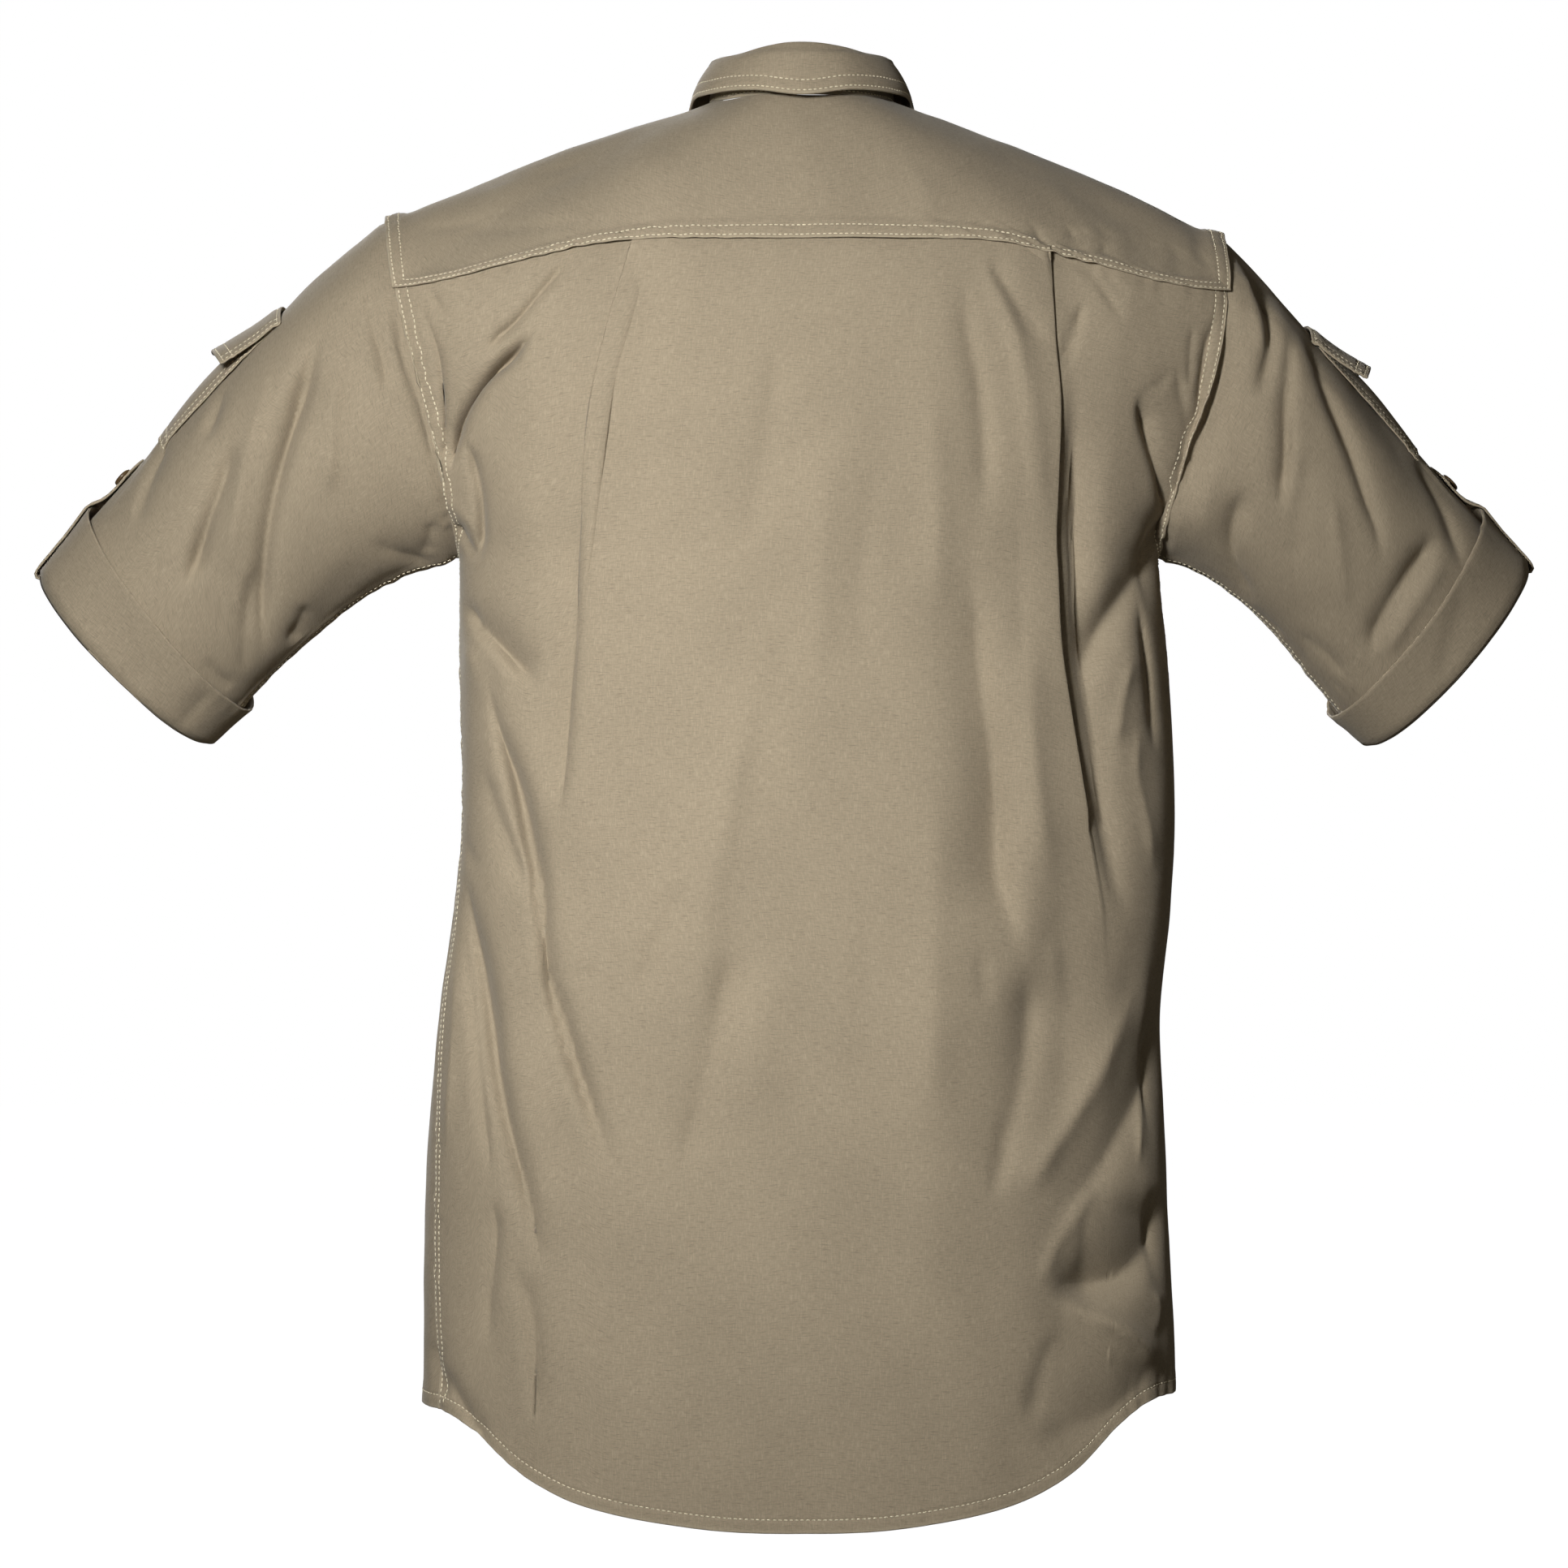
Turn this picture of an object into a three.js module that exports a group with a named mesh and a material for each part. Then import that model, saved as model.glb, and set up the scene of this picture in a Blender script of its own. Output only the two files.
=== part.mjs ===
// Short-sleeved safari shirt, filled out as it is worn, in millimetres.
// Origin: the middle of the neck opening at the level of the back neck seam.
// +Z is up, the wearer's front faces -Y and the wearer's left side is +X.
import * as THREE from "three";

// Cloth and seams
const WALL = 1.2; // cloth with its seam allowances
const SEAM = 0.3; // gap between pieces at a seam
const LIFT = WALL + SEAM; // a piece that lies on another one
const CLOTH_COLOUR = 0x9c907a;
const BUTTON_COLOUR = 0x6b5a41;

// Neck and collar
const NECK_HALF_WIDTH = 51;
const NECK_HALF_DEPTH = 62;
const NECK_CENTRE_Y = -8;
const COLLAR_OVERLAP_DEG = 9; // each stand end passes the centre front by this
const COLLAR_END_DEG = 172;
const COLLAR_SWELL = 1.6; // how far the fall swells between its fold and its edge
const STAND_BUTTON = 0.55; // share of its height where the collar button sits
const STAND_LEAN = 3; // how far the stand leans in at its top
const STAND_FOOT = { back: 0.9, front: 1.5 }; // gap under the stand
// Round the fold of the collar, from the top of the stand outwards
const COLLAR_ROLL = [
  { away: 0, height: 0.9 },
  { away: 0.2, height: 2.6 },
  { away: 1.3, height: 4 },
  { away: 2.9, height: 3.4 },
  { away: 3.6, height: 1.2 },
];
const NECK = [
  { angle: 0, z: 0, stand: 32, reach: 8, stand_off: 9 },
  { angle: 45, z: 0, stand: 23.5, reach: 8, stand_off: 8 },
  { angle: 90, z: -3, stand: 20, reach: 10, stand_off: 5.5 },
  { angle: 120, z: -21, stand: 19, reach: 24, stand_off: 4 },
  { angle: 150, z: -46, stand: 19, reach: 44, stand_off: 3.6 },
  { angle: 180, z: -60, stand: 19, reach: 66, stand_off: 3.6 },
];

// Armhole seams, from the underarm up the back, over the shoulder and down the front
const ARMHOLE = [
  { place: "underarm", left: 189, right: 197, y: 0, zl: -252, zr: -252 },
  { place: "back low", left: 192, right: 200, y: 40, zl: -232, zr: -234 },
  { place: "back middle", left: 199, right: 210, y: 62, zl: -195, zr: -195 },
  { place: "back high", left: 211, right: 226, y: 68, zl: -147, zr: -150 },
  { place: "yoke back end", left: 222, right: 232, y: 60, zl: -106, zr: -108 },
  { place: "behind the top", left: 227, right: 232, y: 34, zl: -76, zr: -84 },
  { place: "top", left: 229, right: 231, y: -2, zl: -63, zr: -72 },
  { place: "before the top", left: 225, right: 227, y: -36, zl: -75, zr: -84 },
  { place: "yoke front end", left: 217, right: 220, y: -54, zl: -96, zr: -106 },
  { place: "front high", left: 204, right: 208, y: -68, zl: -140, zr: -146 },
  { place: "front middle", left: 193, right: 199, y: -64, zl: -195, zr: -195 },
  { place: "front low", left: 188, right: 196, y: -38, zl: -234, zr: -236 },
];
const YOKE_BACK_END = 4;
const YOKE_FRONT_END = 8;
const ROUND = ARMHOLE.length;

// Body below the underarm: half widths, depths and the angles of the side seams
const BODY = [
  { z: -252, left: 189, right: 197, back: 118, front: 128, seam_l: 90, seam_r: 90 },
  { z: -300, left: 189, right: 201, back: 114, front: 129, seam_l: 89, seam_r: 91 },
  { z: -390, left: 188, right: 206, back: 109, front: 126, seam_l: 86, seam_r: 93 },
  { z: -445, left: 192, right: 203, back: 108, front: 124, seam_l: 83, seam_r: 94 },
  { z: -500, left: 200, right: 199, back: 110, front: 123, seam_l: 80, seam_r: 95 },
  { z: -555, left: 205, right: 200, back: 113, front: 124, seam_l: 77, seam_r: 96 },
  { z: -610, left: 208, right: 202, back: 117, front: 125, seam_l: 74, seam_r: 97 },
  { z: -690, left: 209, right: 206, back: 121, front: 127, seam_l: 71, seam_r: 98 },
  { z: -790, left: 210, right: 206, back: 124, front: 128, seam_l: 70, seam_r: 99 },
];
const SQUARENESS = 2.4; // exponent of the rounded body section
const UNDERARM_Z = -252;
const HEM_BACK_Z = -777;
const HEM_FRONT_Z = -764;
const HEM_SIDE_Z = { left: -717, right: -711 };
const HEM_RISE = [
  { angle: 0, share: 0 },
  { angle: 12, share: 0.04 },
  { angle: 30, share: 0.22 },
  { angle: 42, share: 0.47 },
  { angle: 53, share: 0.78 },
  { angle: 64, share: 0.96 },
  { angle: 76, share: 1 },
  { angle: 90, share: 1 },
];

// Yoke: one piece over both shoulders
const YOKE_DROP_Z = -82; // middle of the back seam
const YOKE_SLANT = 25; // how much lower the seam ends are
const YOKE_BACK_Y = 102;
const YOKE_NECK_END_DEG = 112; // where the front yoke seams meet the neck
const YOKE_SHOULDER_DEG = 62; // neck angle over the back end of the armhole
const YOKE_ROUND_BACK = 10;
const YOKE_ROUND_FRONT = 6;
const YOKE_ROUND_TOP = 11; // how far the shoulders arch above a straight line
const YOKE_PROUD = 0.5; // the yoke laps over the back and the fronts
const YOKE_BACK_SHARE = 0.56; // share of a half yoke that ends on the back seam
const NECK_SHARE = 0.42; // share of a front's top where the yoke seam ends and the neck starts

// Knife pleats under the yoke, one row for each height, with the fold's x, its underlay and its step
const PLEAT_STEP = 1.9; // from one layer of a pleat to the next
const PLEAT_SPREAD = 45; // the cloth beside a pleat comes up to the panel over this width
const PLEAT_CLEAR_DEG = 4.5; // from a fold to the first plain column beside it
const PLEAT_PANEL_DEG = 5.5; // from a fold to the last plain column of the middle panel
const PLEAT_PANEL = [-14, -6]; // columns of the panel beside its fold
const PLEAT_LEFT = [
  { z: -60, x: 98, underlay: 14, step: 1 },
  { z: -92, x: 101, underlay: 14, step: 1 },
  { z: -165, x: 117, underlay: 12, step: 1 },
  { z: -290, x: 122, underlay: 7, step: 1 },
  { z: -374, x: 130, underlay: -4, step: 1 },
  { z: -450, x: 136, underlay: -7, step: 0.3 },
  { z: -520, x: 140, underlay: -8, step: 0 },
  { z: -800, x: 142, underlay: -8, step: 0 },
];
const PLEAT_RIGHT = [
  { z: -60, x: 133, underlay: 14, step: 1 },
  { z: -92, x: 134, underlay: 14, step: 1 },
  { z: -197, x: 137, underlay: 13, step: 1 },
  { z: -312, x: 142, underlay: 10, step: 1 },
  { z: -416, x: 152, underlay: 2, step: 1 },
  { z: -465, x: 158, underlay: -5, step: 0.9 },
  { z: -560, x: 160, underlay: -8, step: 0 },
  { z: -800, x: 160, underlay: -8, step: 0 },
];

// Folds that show on the back and the sleeves: three points (x, z), half width, and depth out of the cloth
const FOLDS_BACK = [
  { x0: 185, z0: -300, x1: 150, z1: -400, x2: 137, z2: -480, wide: 13, deep: -6 },
  { x0: 137, z0: -480, x1: 123, z1: -530, x2: 98, z2: -600, wide: 12, deep: -4.5 },
  { x0: 184, z0: -420, x1: 168, z1: -520, x2: 144, z2: -620, wide: 11, deep: -4 },
  { x0: 150, z0: -138, x1: 176, z1: -165, x2: 189, z2: -205, wide: 9, deep: -4.5 },
  { x0: -72, z0: -200, x1: -88, z1: -370, x2: -101, z2: -545, wide: 16, deep: -2.5 },
  { x0: -179, z0: -483, x1: -150, z1: -550, x2: -103, z2: -609, wide: 13, deep: 6 },
  { x0: -187, z0: -525, x1: -160, z1: -575, x2: -130, z2: -630, wide: 13, deep: -6 },
  { x0: -138, z0: -655, x1: -163, z1: -670, x2: -192, z2: -693, wide: 11, deep: 4 },
  { x0: -170, z0: -277, x1: -160, z1: -300, x2: -148, z2: -335, wide: 14, deep: -4 },
];
const FOLDS_FRONT = [
  { x0: 120, z0: -150, x1: 150, z1: -215, x2: 172, z2: -290, wide: 15, deep: -4.5 },
  { x0: -118, z0: -160, x1: -152, z1: -222, x2: -176, z2: -300, wide: 15, deep: -4.5 },
  { x0: 96, z0: -360, x1: 110, z1: -500, x2: 90, z2: -660, wide: 16, deep: -5 },
  { x0: -100, z0: -380, x1: -118, z1: -520, x2: -104, z2: -690, wide: 16, deep: -5 },
  { x0: 60, z0: -560, x1: 52, z1: -650, x2: 62, z2: -740, wide: 14, deep: 4 },
];
const FOLDS_SLEEVE = [
  { x0: 246, z0: -118, x1: 240, z1: -155, x2: 222, z2: -195, wide: 17, deep: -5 },
  { x0: 279, z0: -150, x1: 296, z1: -226, x2: 303, z2: -280, wide: 18, deep: -5 },
  { x0: -248, z0: -100, x1: -252, z1: -130, x2: -251, z2: -160, wide: 15, deep: -4 },
  { x0: -261, z0: -148, x1: -262, z1: -187, x2: -259, z2: -228, wide: 15, deep: -5 },
  { x0: -278, z0: -133, x1: -294, z1: -180, x2: -310, z2: -238, wide: 17, deep: -5 },
];

// Sleeves and turned-up cuffs
// Middle of each cuff fold, its tilt in the XZ plane and how steeply the sleeve leaves the shoulder
const SLEEVE = {
  left: { x: 378, y: -34, z: -305, tilt: 46, droop: 0.6 },
  right: { x: 361, y: -34, z: -304, tilt: 49, droop: 0.82 },
};
const SLEEVE_FORWARD_DEG = 10;
const CUFF_RADIUS_ACROSS = 65.5;
const CUFF_RADIUS_DEEP = 57;
const SLEEVE_LENGTH = 240; // mean length from armhole to cuff fold
const SLEEVE_END = 0.962; // where the sleeve is joined to its cuff
const SLEEVE_GAP = { over: 0.35, under: 1.85 }; // from the armhole seam to the sleeve
const CUFF_DEPTH = 38;
const CUFF_PROUD = 4.8; // how far its free edge stands off the sleeve
const CUFF_TOP = 1 - CUFF_DEPTH / SLEEVE_LENGTH;
const CUFF_MIDDLE = (0.975 + CUFF_TOP) / 2;
// The cuff from its seam down inside, round its fold and up outside, with its distance off the sleeve
const CUFF_PATH = [
  { along: SLEEVE_END + 0.003, off: 0 },
  { along: 0.99, off: 0 },
  { along: 1, off: 0.35 },
  { along: 1.004, off: 1.2 },
  { along: 0.998, off: 2.05 },
  { along: 0.975, off: 2.5 },
  { along: CUFF_MIDDLE, off: 3.2 },
  { along: CUFF_TOP, off: CUFF_PROUD },
];
// The tab from inside the cuff round its fold, up outside it and on to the sleeve
const TAB_PATH = [
  { along: 0.93, off: -2.1 },
  { along: 0.99, off: -2.1 },
  { along: 1.009, off: -1 },
  { along: 1.0135, off: 1.2 },
  { along: 1.008, off: 3.5 },
  { along: 0.98, off: 4.6 },
  { along: CUFF_MIDDLE, off: 5.3 },
  { along: CUFF_TOP + 0.005, off: CUFF_PROUD + 2 },
  { along: CUFF_TOP - 0.009, off: CUFF_PROUD + 1.2 },
  { along: CUFF_TOP - 0.03, off: 3.2 },
  { along: CUFF_TOP - 0.055, off: 1.9 },
  { along: CUFF_TOP - 0.105, off: 1.8 },
];
const TAB_COLUMNS = [-1, -0.5, 0, 0.5, 1];

// Sleeve pocket, flap and roll-up tab: stretches round (12 to a turn) and along the sleeve
const POCKET = { from: 5.1, to: 7.35, top: 0.305, end: 0.64, off: 1.7, bulge: 3.2 };
const FLAP = { from: 5.02, to: 7.43, top: 0.28, end: 0.42, point: 0.03, off: 0.5, proud: 6.5 };
const TAB = { middle: 6.15, half_width: 13, tip: 9, button: 0.757 };
const TAB_STRETCH = 32.5; // one stretch round the cuff, in millimetres

// Front closure
const OVERLAP = 16; // each front passes the centre front by this
const BAND_HALF_WIDTH = 15;
const UNDER = LIFT + 0.3; // the right front lies under the left one by this
// Columns near the centre front, as distances from it
const LEFT_EDGE = [5, -5, -OVERLAP];
const RIGHT_EDGE = [-19, -8, 5, OVERLAP];
const RIGHT_PANEL_EDGE = 44;
const RIGHT_STEP_EDGE = 32;
const BAND = [BAND_HALF_WIDTH, 5, -5, -BAND_HALF_WIDTH];
const BUTTON_RADIUS = 5.6;
const BUTTON_THICK = 2.6;
const BUTTON_GAP = 0.45;
const BUTTON_ROWS = 6;
const BUTTON_TOP_Z = -112;
const BUTTON_STEP = 92;

const BUTTON_SIDES = 12;
const BUTTON_PROFILE = [
  { radius: 0, height: 0 },
  { radius: 0.85, height: 0 },
  { radius: 1, height: 0.5 },
  { radius: 0.88, height: 1 },
  { radius: 0, height: 0.8 },
];

// Seam gaps as shares of a form, and mean radii of the body
const SEAM_ROW = 0.0035;
const SEAM_SHARE = 0.0028;
const YOKE_SEAM_ACROSS = 0.0012;
const YOKE_SEAM_OUT = 0.0025;
const YOKE_SEAM_NECK = 0.006;
const SIDE_RADIUS = 200;
const MEAN_RADIUS = 190;
const ARMHOLE_EASE_DEG = 0.05;

// Stretches of the grids across and down the pieces
const GRID = {
  upper_rows: 6,
  back_lower_rows: 13,
  front_lower_rows: 11,
  back_side_columns: 8,
  back_middle_columns: 14,
  front_columns: 10,
  yoke_columns: 30,
  yoke_rows: 6,
  stand_columns: 34,
  stand_rows: 3,
  collar_columns: 32,
  collar_fall_rows: 5,
  sleeve_columns: 26,
  sleeve_rows: 11,
  pocket: 6,
  flap_rows: 5,
};

const RAD = Math.PI / 180;
const clamp = (v, low, high) => Math.min(high, Math.max(low, v));
const mix = (a, b, t) => a + (b - a) * t;
const smooth = (t) => {
  const c = clamp(t, 0, 1);
  return c * c * (3 - 2 * c);
};
const add = (a, b, k = 1) => [a[0] + b[0] * k, a[1] + b[1] * k, a[2] + b[2] * k];
const sub = (a, b) => [a[0] - b[0], a[1] - b[1], a[2] - b[2]];
const mixPoint = (a, b, t) => [mix(a[0], b[0], t), mix(a[1], b[1], t), mix(a[2], b[2], t)];
const dot = (a, b) => a[0] * b[0] + a[1] * b[1] + a[2] * b[2];
const cross = (a, b) => [
  a[1] * b[2] - a[2] * b[1],
  a[2] * b[0] - a[0] * b[2],
  a[0] * b[1] - a[1] * b[0],
];
const unit = (a) => {
  const l = Math.hypot(...a) || 1;
  return [a[0] / l, a[1] / l, a[2] / l];
};

// Cubic through four values, at t between the middle two.
function through(a, b, c, d, t) {
  const left = (c - a) / 2;
  const right = (d - b) / 2;
  const t2 = t * t;
  const t3 = t2 * t;
  return (
    b * (2 * t3 - 3 * t2 + 1) + left * (t3 - 2 * t2 + t) + c * (3 * t2 - 2 * t3) + right * (t3 - t2)
  );
}

// Smooth reading of one column of a table, by another column that rises or falls.
function read(table, key, column, value) {
  const rising = table[1][key] > table[0][key];
  const last = table.length - 1;
  let i = 0;
  while (i < last - 1 && (rising ? value > table[i + 1][key] : value < table[i + 1][key])) i++;
  const span = table[i + 1][key] - table[i][key];
  const t = clamp((value - table[i][key]) / span, 0, 1);
  const slope = (j) => {
    if (key === "angle" && (j === 0 || j === last)) return 0;
    const before = table[Math.max(j - 1, 0)];
    const after = table[Math.min(j + 1, last)];
    return (after[column] - before[column]) / (after[key] - before[key]);
  };
  const t2 = t * t;
  const t3 = t2 * t;
  return (
    table[i][column] * (2 * t3 - 3 * t2 + 1) +
    slope(i) * span * (t3 - 2 * t2 + t) +
    table[i + 1][column] * (3 * t2 - 2 * t3) +
    slope(i + 1) * span * (t3 - t2)
  );
}

// Point on the neck seam; the angle starts at the centre back and is positive to the left.
function neck(angle) {
  const a = Math.abs(angle);
  return [
    NECK_HALF_WIDTH * Math.sin(angle * RAD),
    NECK_CENTRE_Y + NECK_HALF_DEPTH * Math.cos(angle * RAD),
    read(NECK, "angle", "z", Math.min(a, 360 - a)),
  ];
}

// Point on an armhole seam, for side 1 (left) or -1 (right) and 12 stretches to a turn.
function armhole(side, k) {
  const i = Math.floor(k);
  const row = (j) => ARMHOLE[(((i + j) % ROUND) + ROUND) % ROUND];
  const value = (f) => through(f(row(-1)), f(row(0)), f(row(1)), f(row(2)), k - i);
  return [
    side * value((r) => (side > 0 ? r.left : r.right)),
    value((r) => r.y),
    value((r) => (side > 0 ? r.zl : r.zr)),
  ];
}

// Height of the folds of one table at a point seen square to the XZ plane.
function foldHeight(table, x, z) {
  let height = 0;
  for (const f of table) {
    const ends = [
      [f.x0, f.z0, f.x1, f.z1, 0],
      [f.x1, f.z1, f.x2, f.z2, 0.5],
    ];
    let best = Infinity;
    let along = 0;
    for (const [ax, az, bx, bz, start] of ends) {
      const lx = bx - ax;
      const lz = bz - az;
      const t = clamp(((x - ax) * lx + (z - az) * lz) / (lx * lx + lz * lz), 0, 1);
      const d = Math.hypot(x - ax - t * lx, z - az - t * lz);
      if (d < best) {
        best = d;
        along = start + t / 2;
      }
    }
    const fade = smooth(along * 4) * smooth((1 - along) * 4);
    height += f.deep * fade * Math.exp(-((best / f.wide) ** 2) * 1.5);
  }
  return height;
}

// Point on the rounded body section at a height; 0 is the centre back, 180 the centre front.
function bodyRing(angle, z) {
  const across = Math.sin(angle * RAD);
  const behind = Math.cos(angle * RAD);
  const width = read(BODY, "z", across < 0 ? "right" : "left", z);
  const depth = behind < 0 ? read(BODY, "z", "front", z) : read(BODY, "z", "back", z);
  const power = 2 / SQUARENESS;
  return [
    Math.sign(across) * width * Math.abs(across) ** power,
    Math.sign(behind) * depth * Math.abs(behind) ** power,
    z,
  ];
}

const sideHem = (side) => (side < 0 ? HEM_SIDE_Z.right : HEM_SIDE_Z.left);
function hemZ(angle) {
  const a = Math.abs(angle);
  const low = a < 90 ? HEM_BACK_Z : HEM_FRONT_Z;
  return mix(low, sideHem(angle), read(HEM_RISE, "angle", "share", a < 90 ? a : 180 - a));
}

// Point on the back yoke seam; 0 is the centre back, 90 the left armhole.
function yokeSeam(angle) {
  const side = angle < 0 ? -1 : 1;
  const end = armhole(side, YOKE_BACK_END);
  const across = Math.abs(Math.sin(angle * RAD)) ** (2 / SQUARENESS);
  const x = end[0] * across;
  const level = (v) => YOKE_DROP_Z - YOKE_SLANT * smooth((Math.abs(v) - 80) / 150);
  const rounded = Math.abs(Math.cos(angle * RAD)) ** 1.7;
  const z = level(x) + (end[2] - level(end[0])) * across ** 4;
  return [x, end[1] + (YOKE_BACK_Y - end[1]) * rounded, z];
}

// Curve between two points that leaves and arrives along given directions.
function hermite(a, b, da, db, t) {
  const t2 = t * t;
  const t3 = t2 * t;
  const h = [2 * t3 - 3 * t2 + 1, t3 - 2 * t2 + t, 3 * t2 - 2 * t3, t3 - t2];
  return [0, 1, 2].map((i) => a[i] * h[0] + da[i] * h[1] + b[i] * h[2] + db[i] * h[3]);
}

// Back: angle across, row 0 at the yoke seam, 1 at the underarm and 2 at the hem.
function backForm(angle, row) {
  const side = angle < 0 ? -1 : 1;
  if (row > 1) return bodyRing(angle, mix(UNDERARM_Z, hemZ(angle), row - 1));
  const column = (a) => {
    const top = yokeSeam(a);
    const foot = bodyRing(a, UNDERARM_Z);
    const length = top[2] - foot[2];
    const rounded = Math.cos(a * RAD) ** 2;
    const leave = [0, mix(0.1, 0.42, rounded) * length, -length];
    const arrive = [0, -0.1 * length * rounded, -length];
    return hermite(top, foot, leave, arrive, row);
  };
  const seam = armhole(side, YOKE_BACK_END * (1 - row));
  const pull = sub(seam, column(side * 90));
  return add(column(angle), pull, Math.abs(angle / 90) ** 5);
}

// Front: share 0 at the armhole and side seam, 1 at the centre front; rows as on the back.
function frontTop(side, share) {
  if (share > NECK_SHARE) {
    const t = (share - NECK_SHARE) / (1 - NECK_SHARE);
    return neck(side * mix(YOKE_NECK_END_DEG, 180, t));
  }
  return yokeForm(side * (1 + 0.001), 1 - share / NECK_SHARE);
}
function frontForm(side, share, row) {
  const seam = side > 0 ? "seam_l" : "seam_r";
  const angleAt = (z) => side * mix(read(BODY, "z", seam, z), 180, share);
  if (row > 1) {
    const angle = angleAt(mix(UNDERARM_Z, sideHem(side), row - 1));
    return bodyRing(angle, mix(UNDERARM_Z, hemZ(angle), row - 1));
  }
  const column = (s) => {
    const top = frontTop(side, s);
    const foot = bodyRing(side * mix(90, 180, s), UNDERARM_Z);
    const length = top[2] - foot[2];
    const middle = Math.sin((s * Math.PI) / 2);
    const leave = [side * 8 * (1 - s), -mix(0.25, 0.5, middle) * length, -length];
    const arrive = [0, 0.02 * length, -length];
    return hermite(top, foot, leave, arrive, row);
  };
  const pull = sub(armhole(side, YOKE_FRONT_END + (ROUND - YOKE_FRONT_END) * row), column(0));
  return add(column(share), pull, (1 - share) ** 5);
}

// Yoke: across from -1 (right front seam) over the back to 1 (left front seam); 0 at the neck, 1 outside.
function yokeForm(across, out) {
  const side = across < 0 ? -1 : 1;
  const a = Math.min(Math.abs(across), 1);
  let outer;
  let angle;
  let round;
  if (a < YOKE_BACK_SHARE) {
    const t = a / YOKE_BACK_SHARE;
    outer = yokeSeam(side * 90 * t);
    angle = YOKE_SHOULDER_DEG * t;
    round = [0, 0.85 * YOKE_ROUND_BACK * (1 - 0.7 * t), mix(0.5 * YOKE_ROUND_BACK, YOKE_ROUND_TOP, t)];
  } else {
    const t = (a - YOKE_BACK_SHARE) / (1 - YOKE_BACK_SHARE);
    outer = armhole(side, mix(YOKE_BACK_END, YOKE_FRONT_END, t));
    angle = mix(YOKE_SHOULDER_DEG, YOKE_NECK_END_DEG, t);
    round = [0, mix(0.25 * YOKE_ROUND_BACK, -0.8 * YOKE_ROUND_FRONT, t), YOKE_ROUND_TOP];
  }
  const inner = neck(side * angle);
  const control = add(mixPoint(inner, outer, 0.5), round);
  return mixPoint(mixPoint(inner, control, out), mixPoint(control, outer, out), out);
}

// Sleeve: 12 stretches round from the underarm by way of the back; 0 at the armhole, 1 at the cuff fold.
function sleeveForm(side, k, along) {
  const centre = side > 0 ? SLEEVE.left : SLEEVE.right;
  const level = Math.cos(SLEEVE_FORWARD_DEG * RAD);
  const tilt = centre.tilt * RAD;
  const axis = [
    side * Math.sin(tilt) * level,
    -Math.sin(SLEEVE_FORWARD_DEG * RAD),
    -Math.cos(tilt) * level,
  ];
  const rise = [side * Math.cos(tilt), 0, Math.sin(tilt)];
  const back = unit(add([0, 1, 0], axis, -axis[1]));
  const turn = (k / ROUND) * 2 * Math.PI;
  const start = armhole(side, k);
  let end = [side * centre.x, centre.y, centre.z];
  end = add(end, rise, -CUFF_RADIUS_ACROSS * Math.cos(turn));
  end = add(end, back, CUFF_RADIUS_DEEP * Math.sin(turn));
  const length = Math.hypot(...sub(end, start));
  const under = (1 + Math.cos(turn)) / 2;
  const over = 1 - under;
  const out = [side * mix(0.78, 0.97, under), -0.05, mix(-centre.droop, -0.1, under)];
  const leave = unit(add(out, back, 0.22 * Math.sin(turn)));
  const sag = [0, 0, mix(0.02, 0.06, over) * length];
  const arrive = add([axis[0] * length, axis[1] * length, axis[2] * length], sag, -1);
  return hermite(start, end, leave.map((v) => v * length), arrive, along);
}

// A form moved off its surface by a distance, with its folds where it faces back or front.
function lifted(form, foldsBack, foldsFront) {
  return (u, v, distance = 0, flip = 1) => {
    const e = 0.004;
    const p = form(u, v);
    const du = sub(form(u + e, v), form(u - e, v));
    const dv = sub(form(u, Math.min(v + e, 2)), form(u, Math.max(v - e, 0)));
    const n = unit(cross(du, dv)).map((c) => c * flip);
    const facing = smooth(Math.abs(n[1]) * 2.5 - 0.2);
    const table = n[1] > 0 ? foldsBack : foldsFront;
    const height = facing * foldHeight(table, p[0], p[2]);
    return add(p, n, distance + height);
  };
}
const backLifted = lifted(backForm, FOLDS_BACK, FOLDS_FRONT);
const onBack = (angle, row, off = 0) => backLifted(angle, row, off);
const frontLifted = {
  1: lifted((s, r) => frontForm(1, s, r), FOLDS_BACK, FOLDS_FRONT),
  "-1": lifted((s, r) => frontForm(-1, s, r), FOLDS_BACK, FOLDS_FRONT),
};
const onFront = (side, share, row, off = 0) => frontLifted[side](share, row, off, side);
const onYoke = (() => {
  const form = lifted(yokeForm, [], []);
  return (across, out, off = 0) => form(across, out, off);
})();
const sleeveLifted = {
  1: lifted((k, l) => sleeveForm(1, k, l), FOLDS_SLEEVE, []),
  "-1": lifted((k, l) => sleeveForm(-1, k, l), FOLDS_SLEEVE, []),
};
const onSleeve = (side, k, along, off = 0) => sleeveLifted[side](k, along, off, side);

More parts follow.
